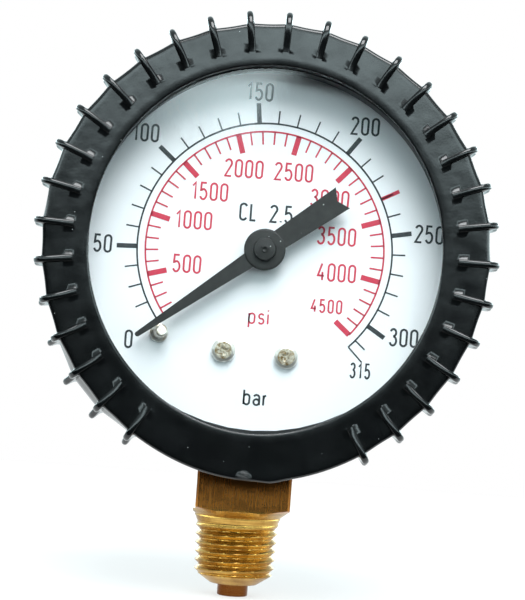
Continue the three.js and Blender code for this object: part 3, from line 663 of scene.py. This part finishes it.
def edge_stretch(degrees):
    """How far the outer edge is pulled out. It hangs at the bottom, with a small flap on one side."""
    flap = 0.3 * bell(degrees % 360, 275.5, 2.6)
    return 0.1 + 1.15 * bell(degrees % 360, 271, 28) - 0.4 * bell(degrees % 360, 188, 25) + flap


def fin_stretch(degrees):
    """How much taller the fins stand than they do on average."""
    return 0.65 * bell(degrees % 360, 108, 36) - 0.3 * bell(degrees % 360, 200, 25)


def boot_point(station, column):
    """The point of the boot's skin where a place around its section meets a place around its ring."""
    (plain_r, plain_y), (rib_r, rib_y), crest_half, root_half = station
    angle, step, gap, height, span = column
    reach = crest_half * min(1.0, abs(step)) + (root_half - crest_half) * max(0.0, abs(step) - 1)
    offset = math.degrees(reach / plain_r) * (1 if step > 0 else -1)
    root = math.degrees(root_half / plain_r)
    degrees = angle + offset + (span - 2 * root) * gap
    outward = min(1.0, max(0.0, (plain_r - LIP_RADIUS) / (BOOT_RADIUS - LIP_RADIUS)))
    stretch = lip_stretch(degrees) * (1 - outward) + edge_stretch(degrees) * outward
    fin = rib_r - plain_r
    fin += fin_stretch(degrees) * min(1.0, max(0.0, fin / 1.6))
    radius = plain_r + stretch + fin * height
    depth = plain_y + (rib_y - plain_y) * height
    # Between two ribs the side is drawn in a little, but not along the wide gap at the bottom.
    if plain_r > 33 and span < 15:
        radius -= 0.14 * math.sin(math.pi * gap)
    # Low on the left the rubber's rear part bulges outwards.
    if plain_r > 32.5:
        radius += 1.5 * smoothstep(-16.5, -10, plain_y) * bell(degrees % 360, 221, 19)
    across, up = polar(radius, degrees)
    return AXIS_X + across, depth, AXIS_Z + up


def rubber_boot():
    stations, columns = boot_stations(), boot_columns()
    rings = [[boot_point(station, column) for column in columns] for station in stations]
    vertices, faces = loft(rings, closed_profile=True)
    boot = make_piece("boot_moulding", vertices, faces, RUBBER, body=None, crease=50)
    combine(boot, "DIFFERENCE", [block_notch(AXIS_Z - 40, AXIS_Z - 28, RUBBER)])
    shade(boot, 50)
    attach(boot, "housing")
    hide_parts("rubber_boot")
    return boot


rubber_boot()

# ---------------- gasket behind the window


def window_gasket():
    """A smooth rubber ring between the window and the boot, pulled a little open at the bottom."""
    front, back = GASKET_LOW.y, GASKET_HIGH.y
    rim = CASE_LOW.y - 0.1
    inner, outer, skirt = 28.2, (GASKET_HIGH.x - GASKET_LOW.x) / 2, 30.1
    section = [(inner, front), (outer, front), (outer, rim), (skirt, rim), (skirt, back), (inner, back)]
    rings = []
    for radius, depth in rounded(section, 0.12, closed=True):
        ring = []
        for degrees in range(0, 360, 2):
            opened = 1.5 * bell(degrees, 270, 50) if radius < 29 else 0.0
            across, up = polar(radius + opened, degrees)
            ring.append((AXIS_X + across, depth, AXIS_Z + up))
        rings.append(ring)
    gasket = make_piece("gasket_ring", *loft(rings, closed_profile=True), GASKET)
    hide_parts("window_gasket")
    return gasket


window_gasket()

# ---------------- printing on the dial


def arc(centre_x, centre_y, radius_x, radius_y, start, end):
    """Points along part of an ellipse, from one angle to another in degrees."""
    steps = max(3, int(abs(end - start) / 22))
    angles = [math.radians(start + (end - start) * i / steps) for i in range(steps + 1)]
    return [(centre_x + radius_x * math.cos(a), centre_y + radius_y * math.sin(a)) for a in angles]


# Strokes of each character in a box 1 wide and 1 tall, drawn as narrow monoline figures.
BOWL = arc(0.5, 0.5, 0.5, 0.2, 0, 180) + arc(0.5, 0.2, 0.5, 0.2, 180, 360)
GLYPHS = {
    "0": [arc(0.5, 0.8, 0.5, 0.2, 0, 180) + arc(0.5, 0.2, 0.5, 0.2, 180, 360)],
    "1": [[(0.0, 0.78), (0.75, 1.0), (0.75, 0.0)]],
    "2": [arc(0.5, 0.78, 0.5, 0.22, 165, -25) + [(0.0, 0.0), (1.0, 0.0)]],
    "3": [arc(0.48, 0.78, 0.45, 0.22, 160, -90), arc(0.48, 0.28, 0.52, 0.28, 90, -160)],
    "4": [[(1.0, 0.27), (0.0, 0.27), (0.6, 1.0)], [(0.72, 0.5), (0.72, 0.0)]],
    "5": [[(0.92, 1.0), (0.12, 1.0), (0.06, 0.55)] + arc(0.48, 0.31, 0.52, 0.31, 125, -155)],
    "p": [[(0.0, 0.7), (0.0, -0.3)], BOWL],
    "s": [arc(0.5, 0.53, 0.42, 0.17, 25, 270) + arc(0.5, 0.19, 0.45, 0.19, 80, -155)],
    "i": [[(0.0, 0.7), (0.0, 0.0)], [(0.0, 0.9), (0.0, 1.0)]],
    "b": [[(0.0, 1.0), (0.0, 0.0)], BOWL],
    "a": [arc(0.5, 0.5, 0.5, 0.2, 155, 0) + [(1.0, 0.0)], arc(0.5, 0.2, 0.5, 0.2, 0, 360)],
    "r": [[(0.0, 0.7), (0.0, 0.0)], arc(0.75, 0.4, 0.75, 0.3, 170, 95)],
    "C": [arc(0.5, 0.8, 0.5, 0.2, 15, 180) + arc(0.5, 0.2, 0.5, 0.2, 180, 345)],
    "L": [[(0.0, 1.0), (0.0, 0.0), (1.0, 0.0)]],
    ".": [[(0.0, 0.0), (0.0, 0.08)]],
}
GLYPH_WIDTHS = {"1": 0.6, "i": 0.0, ".": 0.0, "r": 0.6, "L": 0.8, "b": 0.95, "a": 0.95}
CLOSED_GLYPHS = ("0", "p", "b", "a")


class Print:
    """Flat strokes on the dial that share one ink, gathered into one mesh."""

    def __init__(self):
        self.vertices = []
        self.faces = []

    def stroke(self, points, width, closed=False):
        """A line of this width through points (across, up) from the dial's centre."""
        count = len(points)
        start = len(self.vertices)
        for i, (x, z) in enumerate(points):
            before = points[i - 1] if i or closed else points[i]
            after = points[(i + 1) % count] if i < count - 1 or closed else points[i]
            incoming = Vector((x - before[0], z - before[1]))
            outgoing = Vector((after[0] - x, after[1] - z))
            incoming = incoming.normalized() if incoming.length else outgoing.normalized()
            outgoing = outgoing.normalized() if outgoing.length else incoming
            along = (incoming + outgoing).normalized()
            reach = width / 2 / max(0.6, along.dot(incoming))
            side = Vector((-along.y, along.x)) * reach
            for depth in (DIAL_FRONT - INK, DIAL_FRONT - INK / 6):
                for sign in (1, -1):
                    at_x, at_z = AXIS_X + x + sign * side.x, AXIS_Z + z + sign * side.y
                    self.vertices.append((at_x, depth, at_z))
        last = count if closed else count - 1
        for i in range(last):
            a, b = start + 4 * i, start + 4 * ((i + 1) % count)
            for p, q in ((0, 1), (1, 3), (3, 2), (2, 0)):
                self.faces.append((a + p, a + q, b + q, b + p))
        if not closed:
            end = start + 4 * (count - 1)
            self.faces.append((start, start + 2, start + 3, start + 1))
            self.faces.append((end, end + 1, end + 3, end + 2))

    def text(self, words, across, up, height, digit_width, line=0.34):
        """Words centred on a point of the dial."""
        gap = 0.33 + line
        tall = height - line
        sizes = [GLYPH_WIDTHS.get(c, 1.0) * digit_width for c in words]
        total = sum(sizes) + gap * (len(words) - 1)
        x, base = across - total / 2, up - tall / 2
        for letter, size in zip(words, sizes):
            for number, shape in enumerate(GLYPHS.get(letter, [])):
                loop = letter in CLOSED_GLYPHS and number == len(GLYPHS[letter]) - 1
                points = [(x + px * size, base + py * tall) for px, py in shape]
                self.stroke(points[:-1] if loop else points, line, loop)
            x += size + gap

    def arc(self, radius, start, end, width):
        steps = max(2, int(abs(end - start) / 2))
        angles = [start + (end - start) * i / steps for i in range(steps + 1)]
        self.stroke([polar(radius, a) for a in angles], width)

    def tick(self, degrees, inner, outer, width):
        self.stroke([polar(inner, degrees), polar(outer, degrees)], width)

    def piece(self, name, ink):
        return make_piece(name, self.vertices, self.faces, ink)


def bar_angle(bar):
    return 90 + (SCALE_TOP - bar) * DEGREES_PER_BAR


def psi_angle(psi):
    return bar_angle(psi / PSI_PER_BAR)


def bar_scale():
    black = Print()
    arc_radius, minor_end, major_end = 20.17, 22.26, 23.4
    black.arc(arc_radius, REST_ANGLE, bar_angle(SCALE_END), 0.28)
    for bar in range(20, SCALE_END, 10):
        major = bar % 50 == 0
        end, width = (major_end, 0.72) if major else (minor_end, 0.24)
        black.tick(bar_angle(bar), arc_radius, end, width)
    black.tick(REST_ANGLE, arc_radius, major_end, 0.3)
    black.tick(bar_angle(SCALE_END), arc_radius, major_end, 0.24)
    labels = {
        "0": (-20.4, -15.5),
        "50": (-25.6, -0.7),
        "100": (-20.1, 17.3),
        "150": (-2.5, 25.1),
        "200": (14.5, 20.8),
        "250": (25.8, 4.4),
        "300": (22.9, -12.2),
    }
    for words, (across, up) in labels.items():
        black.text(words, across, up, 2.95, 0.98)
    black.text("315", 16.4, -17.9, 2.55, 0.66, 0.3)
    black.text("bar", 0.25, -23.3, 2.6, 0.95, 0.32)
    black.text("CL 2.5", -0.2, 5.9, 2.9, 1.0)
    return black.piece("dial_print_bar", BLACK_INK)


def psi_scale():
    red = Print()
    arc_radius, minor_end, major_end = 18.86, 16.8, 15.8
    red.arc(arc_radius, REST_ANGLE, psi_angle(4500), 0.28)
    for psi in range(200, 4600, 100):
        major = psi % 500 == 0
        end, width = (major_end, 0.85) if major else (minor_end, 0.27)
        red.tick(psi_angle(psi), end, arc_radius, width)
    red.tick(REST_ANGLE, major_end, arc_radius, 0.3)
    red.tick(bar_angle(230), 20.3, 23.3, 0.6)
    labels = {
        "500": (-12.1, -3.0),
        "1000": (-11.5, 4.0),
        "1500": (-9.3, 8.7),
        "2000": (-4.2, 12.7),
        "2500": (3.7, 12.7),
        "3000": (9.7, 8.9),
        "3500": (11.2, 3.05),
        "4000": (11.6, -2.7),
    }
    for words, (across, up) in labels.items():
        red.text(words, across, up, 2.95, 0.98, 0.32)
    red.text("4500", 10.4, -8.1, 2.25, 0.72, 0.28)
    red.text("psi", -0.2, -10.5, 2.5, 0.9, 0.27)
    return red.piece("dial_print_psi", RED_INK)


bar_scale()
psi_scale()

# ---------------- pointer

POINTER_FRONT = box_mm("pointer")[0].y
POINTER_LENGTH = 24.3
TAIL_LENGTH = 14.7
HUB_RADIUS = 3.27
BOSS_RADIUS = 1.82


def pointer_blade():
    """The blade, its notched tail and the disc around its middle."""
    front = POINTER_FRONT
    half = [(POINTER_LENGTH, 0.2), (POINTER_LENGTH - 0.25, 0.38)]
    half += [(3.0, 1.25), (0.0, 1.45), (-3.0, 1.6), (-TAIL_LENGTH, 1.98)]
    outline = half + [(1 - TAIL_LENGTH, 0.0)] + [(x, -z) for x, z in reversed(half)]
    flat = prism(outline, front + 0.2, front + 1.0, "Y")
    blade = make_piece("pointer_blade", *flat, POINTER_GREY, None)
    back = front + 1.1
    hub = rounded([(0, front), (HUB_RADIUS, front), (HUB_RADIUS, back), (0, back)], 0.32)
    disc = make_piece("disc", *lathe(hub, 64), POINTER_GREY, None)
    combine(blade, "UNION", [disc])
    turn_and_place(blade, REST_ANGLE, (AXIS_X, AXIS_Z))
    soften(blade, 0.2, 40)
    shade(blade, 30)
    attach(blade, "pointer_train")
    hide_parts("pointer")
    return blade


def pointer_boss():
    low, high = box_mm("pointer_bush")
    step = POINTER_FRONT
    neck, bore, shoulder = 1.35, 0.62, step - 0.1
    dimple = [(0, low.y + 0.25), (0.22, low.y + 0.2), (0.3, low.y), (0.5, low.y), (0.56, low.y + 0.16)]
    dome = [(BOSS_RADIUS - 0.12, low.y + 0.22), (BOSS_RADIUS, shoulder), (neck, shoulder)]
    profile = [*dimple, *dome, (neck, high.y), (bore, high.y), (bore, step), (0, step)]
    at = (AXIS_X, AXIS_Z)
    boss = turned_piece("pointer_boss", profile, POINTER_GREY, at, "pointer_train", rounding=0.1)
    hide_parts("pointer_bush")
    return boss


pointer_blade()
pointer_boss()

# ---------------- stop pin and screws


def stop_pin():
    low, high = box_mm("stop_pin")
    at = ((low.x + high.x) / 2 - 0.5, (low.z + high.z) / 2 - 0.3)
    seat = DIAL_FRONT - 0.1
    radius, collar, shank = 0.92, 1.45, 0.5
    front = [(0, low.y), (0.72, low.y), (radius, low.y + 0.2), (radius, seat - 0.8)]
    foot = [(collar, seat - 0.6), (collar, seat), (shank, seat)]
    profile = [*front, *foot, (shank, high.y), (0, high.y)]
    pin = turned_piece("stop_pin_turned", profile, PALE_NICKEL, at, body=None, rounding=0.12)
    # The pin is bent a little to the right and up, and its flat end faces up a little.
    for vertex in pin.data.vertices:
        proud = max(0.0, seat * MM - vertex.co.y)
        vertex.co.x += proud * 0.19
        vertex.co.z += proud * 0.1
        vertex.co.y += (vertex.co.z - at[1] * MM) * 0.12 if proud > 1.5 * MM else 0.0
    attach(pin, "housing")
    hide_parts("stop_pin")
    return pin


def cross_recess(reach, depth, outwards):
    """Two tapered blades at right angles, to cut a cross recess. outwards is the way the head
    faces along Y, and depth the (mouth, floor) of the recess."""
    mouth, bottom = depth
    blades = []
    for long_x, long_z in ((reach, 0.26), (0.26, reach)):
        vertices = []
        for level, share in ((mouth + outwards * 0.6, 1.25), (bottom, 0.62)):
            for sx, sz in ((-1, -1), (1, -1), (1, 1), (-1, 1)):
                vertices.append((sx * long_x * share, level, sz * long_z * share))
        faces = [(0, 1, 2, 3), (7, 6, 5, 4), (0, 4, 5, 1), (1, 5, 6, 2), (2, 6, 7, 3), (3, 7, 4, 0)]
        blades.append(make_piece("recess", vertices, faces, NICKEL, None))
    return blades


def pan_screw(node, name, material, outwards, turn):
    """A pan head with a cross recess and its shank. turn is how far the recess is rotated."""
    low, high = box_mm(node)
    at = ((low.x + high.x) / 2, (low.z + high.z) / 2)
    radius = (high.x - low.x) / 2 * 1.06
    top, tail = (low.y, high.y) if outwards < 0 else (high.y, low.y)
    height = radius * 0.6
    shank = radius * 0.46
    # The head's crown as (share of the radius, share of the height below the top).
    crown = [(0.74, 0.01), (0.8, 0.1), (0.96, 0.26), (1, 0.42), (1, 1)]
    head = [(radius * across, top - outwards * height * below) for across, below in crown]
    profile = [(0, top), *head, (shank, head[-1][1]), (shank, tail), (0, tail)]
    screw = turned_piece(name, profile, material, (0, 0), None, rounding=0.16)
    blades = cross_recess(radius * 0.5, (top, top - outwards * height * 0.45), outwards)
    combine(screw, "DIFFERENCE", blades)
    turn_and_place(screw, turn, at)
    shade(screw, 30)
    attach(screw, "housing")
    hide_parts(node)
    return screw


stop_pin()
pan_screw("dial_screw_left", "dial_screw_left_head", NICKEL, -1, 20)
pan_screw("dial_screw_right", "dial_screw_right_head", NICKEL, -1, 65)
pan_screw("case_screw_left", "case_screw_left_head", STEEL, 1, 12)
pan_screw("case_screw_right", "case_screw_right_head", STEEL, 1, 50)

# ---------------- brass connection


def thread_radius(angle, height):
    """The thread's surface: sharp grooves that run out under the collar, and a chamfered end."""
    crest = THREAD_END_RADIUS + THREAD_TAPER * height
    phase = height / THREAD_PITCH - angle / (2 * math.pi)
    from_root = abs(phase - math.floor(phase) - 0.5) * 2
    run_out = min(1.0, max(0.0, (THREAD_LENGTH - height) / THREAD_PITCH))
    groove = min(1.0, max(0.0, 1.2 * (1 - from_root) - 0.1))
    chamfer = 3.9 + 1.5 * height
    return min(crest - THREAD_DEPTH * run_out * groove, chamfer)


def threaded_end():
    top = THREAD_LENGTH + 0.4  # a little way into the collar
    columns, rows = 120, int(top / (THREAD_PITCH / 16))
    rings = [[(0, 0, 0)] * columns]
    for row in range(rows + 1):
        height = top * row / rows
        ring = []
        for column in range(columns):
            angle = 2 * math.pi * column / columns
            radius = thread_radius(angle, height)
            ring.append((radius * math.cos(angle), radius * math.sin(angle), height))
        rings.append(ring)
    rings.append([(0, 0, top)] * columns)
    return loft(rings, closed_profile=False)


def collar_mesh(top):
    """The turned collar over the thread. top holds the points that close its profile above."""
    start = THREAD_LENGTH - 0.3
    foot = [(0, start), (6.68, start), (6.85, THREAD_LENGTH + 0.2), (7.05, THREAD_LENGTH + 0.55)]
    flare = [(7.0, THREAD_LENGTH + 0.75), (7.6, 11.5), (8.35, 12.1)]
    return lathe([*foot, *flare, *top], 96, along="Z")


def block_outline():
    """The square block's section, with its corners cut off."""
    half = BLOCK_WIDTH / 2
    flat = half - BLOCK_CHAMFER
    corner = [(half, -flat), (half, flat)]
    outline = []
    for quarter in range(4):
        for x, y in corner:
            for _ in range(quarter):
                x, y = -y, x
            outline.append((x + BLOCK_SHIFT, y))
    return outline


def brass_connection():
    """The thread, its pilot spigot, the collar, the square wrench block and the block inside."""
    body = make_piece("brass_connection", *threaded_end(), BRASS, None)
    spigot_end = SOCKET_LOW.z
    bore, bore_depth = 1.6, 0.6
    inside = [(0, spigot_end + bore_depth), (bore, spigot_end + bore_depth), (bore, spigot_end)]
    outside = [(SPIGOT_RADIUS, spigot_end), (SPIGOT_RADIUS, 1), (0, 1)]
    spigot_profile = rounded([*inside, *outside], 0.25)
    spigot = make_piece("spigot", *lathe(spigot_profile, 64, along="Z"), BRASS, None)
    wrench = make_piece("wrench", *prism(block_outline(), THREAD_LENGTH, FLATS_TOP), BRASS, None)
    cone = make_piece("cone", *collar_mesh([(12, 13.1), (12, 30), (0, 30)]), BRASS, None)
    combine(wrench, "INTERSECT", [cone])
    collar = make_piece("collar", *collar_mesh([(0, 12.1)]), BRASS, None)
    across = (-7.35, BLOCK_SHIFT + BLOCK_WIDTH / 2)
    trim = make_piece("trim", *box_mesh(across, (-9, 9), (0, 20)), BRASS, None)
    combine(collar, "INTERSECT", [trim])
    fitted = BLOCK_WIDTH / 2 - 0.1
    inner_x = (BLOCK_SHIFT - fitted, BLOCK_SHIFT + fitted)
    deepest = SOCKET_HIGH.y
    ledge_front = box_mm("movement_back_plate")[1].y + 0.1
    top = SOCKET_HIGH.z
    limits = [
        ((-fitted, fitted), (FLATS_TOP - 0.5, AXIS_Z - 27)),
        ((-fitted, deepest), (AXIS_Z - 28, AXIS_Z - 21.5)),
        ((ledge_front, deepest), (AXIS_Z - 22, top)),
    ]
    inner = [make_piece("inner", *box_mesh(inner_x, y, z), BRASS, None) for y, z in limits]
    combine(body, "UNION", [spigot, collar, wrench, *inner])
    shade(body, 28)
    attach(body, "housing")
    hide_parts("socket")
    return body


brass_connection()

# ---------------- case back and blow-out plug


def case_cup():
    """The pressed steel case, with a shallow ring pressed into its back."""
    inside, outside = 30.2, (CASE_HIGH.x - CASE_LOW.x) / 2
    back, rim, sheet = CASE_HIGH.y, CASE_LOW.y, 0.8
    bottom, groove = back - sheet, back - 0.35
    inner = [(0, bottom), (inside - 1, bottom), (inside, bottom - 1), (inside, rim)]
    outer = [(outside, rim), (outside, back - 1.4), (outside - 1.4, back)]
    ring = [(23.4, back), (22.9, groove), (21.9, groove), (21.4, back), (0, back)]
    profile = rounded([*inner, *outer, *ring], 0.35)
    vertices, faces = lathe(profile, 144, (AXIS_X, AXIS_Z))
    cup = make_piece("case_shell", vertices, faces, BLACK_STEEL, None)
    holes = []
    for node, radius in [("blowout_plug", 5.0), ("case_screw_left", 1.5), ("case_screw_right", 1.5)]:
        centre = middle_mm(node)
        drill = [(0, back - 3), (radius, back - 3), (radius, back + 1), (0, back + 1)]
        holes.append(make_piece("hole", *lathe(drill, 48, (centre.x, centre.z)), BLACK_STEEL, None))
    holes.append(block_notch(AXIS_Z - 33, AXIS_Z - 28, BLACK_STEEL))
    combine(cup, "DIFFERENCE", holes)
    shade(cup, 35)
    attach(cup, "housing")
    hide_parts("case_cup")
    return cup


def blowout_plug():
    centre = middle_mm("blowout_plug")
    low, high = box_mm("blowout_plug")
    outside, inside = CASE_HIGH.y + 0.1, CASE_HIGH.y - 0.9
    groove, dish = 4.8, high.y - 0.35
    barb = [(0, low.y), (4.2, low.y), (5.5, inside), (groove, inside)]
    flange = [(groove, outside), (6.2, outside), (5.8, high.y), (4.1, high.y)]
    profile = [*barb, *flange, (3.7, dish), (0, dish)]
    plug = turned_piece("vent_plug", profile, RUBBER, (centre.x, centre.z), segments=64, rounding=0.25)
    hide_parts("blowout_plug")
    return plug


case_cup()
blowout_plug()

# ---------------- Bourdon tube

TUBE_RADIUS = 20.5
TUBE_START = 253
TUBE_END = -12
TUBE_SIZE = (3.6, 6.2)


def bourdon_tube():
    """A flattened round tube on an arc, built fixed in its resting curve. The real tube bends as its
    tip moves.
    """
    depth = middle_mm("bourdon_tube").y
    steps, around = 132, 28
    rings = []
    for step in range(steps + 1):
        degrees = TUBE_START + (TUBE_END - TUBE_START) * step / steps
        ring = []
        for k in range(around):
            angle = 2 * math.pi * k / around
            wide, tall = math.cos(angle), math.sin(angle)
            outwards = math.copysign(abs(tall) ** 0.8, tall) * TUBE_SIZE[0] / 2
            along = math.copysign(abs(wide) ** 0.6, wide) * TUBE_SIZE[1] / 2
            x, z = polar(TUBE_RADIUS + outwards, degrees)
            ring.append((AXIS_X + x, depth + along, AXIS_Z + z))
        rings.append(ring)
    vertices, faces = loft(rings, closed_profile=False)
    last = len(vertices) - 1
    faces += [tuple(range(around)), tuple(last - k for k in range(around))]
    tube = make_piece("pressure_tube", vertices, faces, BRONZE, None)
    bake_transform(tube)
    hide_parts("bourdon_tube")
    return tube


bourdon_tube()

# ---------------- CAD nodes that stay

KEPT_NODES = [
    (BLACK_STEEL, 0.15, ["bezel_ring"]),
    (GLASS, None, ["window"]),
    (ENAMEL, None, ["dial"]),
    (STEEL, 0.06, ["movement_screw_left", "movement_screw_right"]),
    (STEEL, 0.06, ["plate_screw_left", "plate_screw_right"]),
    (STEEL, None, ["pinion_arbor"]),
    (STEEL, 0.04, ["sector_arbor"]),
    (STEEL, 0.05, ["tail_pin", "tip_pin"]),
    (PLATE_BRASS, 0.05, ["restrictor_screw", "dial_spacer_left", "dial_spacer_right"]),
    (PLATE_BRASS, None, ["sector_gear"]),
    (PLATE_BRASS, 0.05, ["link", "hairspring_collet"]),
    (PLATE_BRASS, 0.08, ["movement_front_plate", "movement_back_plate"]),
    (PLATE_BRASS, 0.08, ["upper_pillar_left", "upper_pillar_right"]),
    (PLATE_BRASS, 0.08, ["lower_pillar_left", "lower_pillar_right"]),
    (PLATE_BRASS, 0.04, ["hairspring_stud"]),
    (PLATE_BRASS, 0.12, ["tube_tip"]),
    (BRONZE, None, ["hairspring"]),
]

for kept_material, edge, node_names in KEPT_NODES:
    for node_name in node_names:
        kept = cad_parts[node_name]
        kept.data.materials.clear()
        kept.data.materials.append(kept_material)
        if edge:
            soften(kept, edge)

# ---------------- floor, light and camera


def floor():
    """A plain pale sheet under the gauge that runs far behind it."""
    level = SOCKET_LOW.z - 0.02
    corners = [(-140, -32, level), (140, -32, level), (140, 300, level), (-140, 300, level)]
    material = new_material("pale_sheet", (0.5, 0.5, 0.5), 0.9, Emission_Strength=0.6)
    shader_of(material).inputs["Emission Color"].default_value = (1, 1, 1, 1)
    paint(material, mottle(material, 60.0), (0.3, 0.3, 0.3), (0.34, 0.34, 0.34))
    sheet = make_piece("floor", corners, [(0, 1, 2, 3)], material, None)


def studio_world():
    """White behind the gauge. In front it is dark low down, with a bright band a little above the
    horizon, which the window and the boot mirror, and a dim ceiling."""
    world = bpy.data.worlds.new("studio")
    world.use_nodes = True
    bpy.context.scene.world = world
    tree = world.node_tree
    background = tree.nodes["Background"]
    direction = add_node(world, "ShaderNodeTexCoord", {}).outputs["Generated"]
    tilted = {0: direction, 1: (0.05, 0.0, 1.0)}
    height = add_node(world, "ShaderNodeVectorMath", tilted, operation="DOT_PRODUCT").outputs["Value"]
    band = remap(world, height, 0.11, 0.155, 0.032, 5.9, "SMOOTHSTEP")
    ceiling = remap(world, height, 0.2, 0.3, 1.0, 0.12, "SMOOTHSTEP")
    behind = remap(world, coordinate(world, "Y", "Generated"), -0.1, 0.35, 0.0, 1.0, "SMOOTHSTEP")
    level = maths(world, "MAXIMUM", maths(world, "MULTIPLY", band, ceiling), behind)
    tint = add_node(world, "ShaderNodeRGB", {}).outputs[0]
    tint.default_value = (0.79, 0.97, 1.0, 1)
    scaled = {0: tint, "Scale": level}
    lit = add_node(world, "ShaderNodeVectorMath", scaled, operation="SCALE").outputs[0]
    seen = add_node(world, "ShaderNodeLightPath", {}).outputs["Is Camera Ray"]
    tree.links.new(blend_colours(world, seen, lit, (1.0, 1.0, 1.0)), background.inputs["Color"])
    background.inputs["Strength"].default_value = 1.0


def key_light():
    """One large square lamp, high in front of the gauge and a little to the right."""
    place, target = Vector((60, -367, 514)), Vector((AXIS_X, 0, AXIS_Z))
    lamp = bpy.data.lights.new("key", "AREA")
    lamp.size = 420 * MM
    lamp.energy = 6.3
    lamp.color = (0.96, 0.985, 1.0)
    made = bpy.data.objects.new("key", lamp)
    made.location = place * MM
    made.rotation_mode = "QUATERNION"
    made.rotation_quaternion = (target - place).normalized().to_track_quat("-Z", "Y")
    bpy.context.scene.collection.objects.link(made)


def camera():
    place, aim = Vector((0.31, -299.3, 36.1)), Vector((1.48, 0.0, 46.6))
    roll = math.radians(4.18)
    data = bpy.data.cameras.new("camera")
    data.lens = 109.0
    data.clip_start, data.clip_end = 0.01, 20
    made = bpy.data.objects.new("camera", data)
    made.location = place * MM
    made.rotation_mode = "QUATERNION"
    facing = (aim - place).normalized().to_track_quat("-Z", "Y")
    made.rotation_quaternion = facing @ Quaternion((0, 0, 1), roll)
    bpy.context.scene.collection.objects.link(made)
    bpy.context.scene.camera = made


floor()
studio_world()
key_light()
camera()
bpy.context.scene.view_settings.view_transform = "Standard"
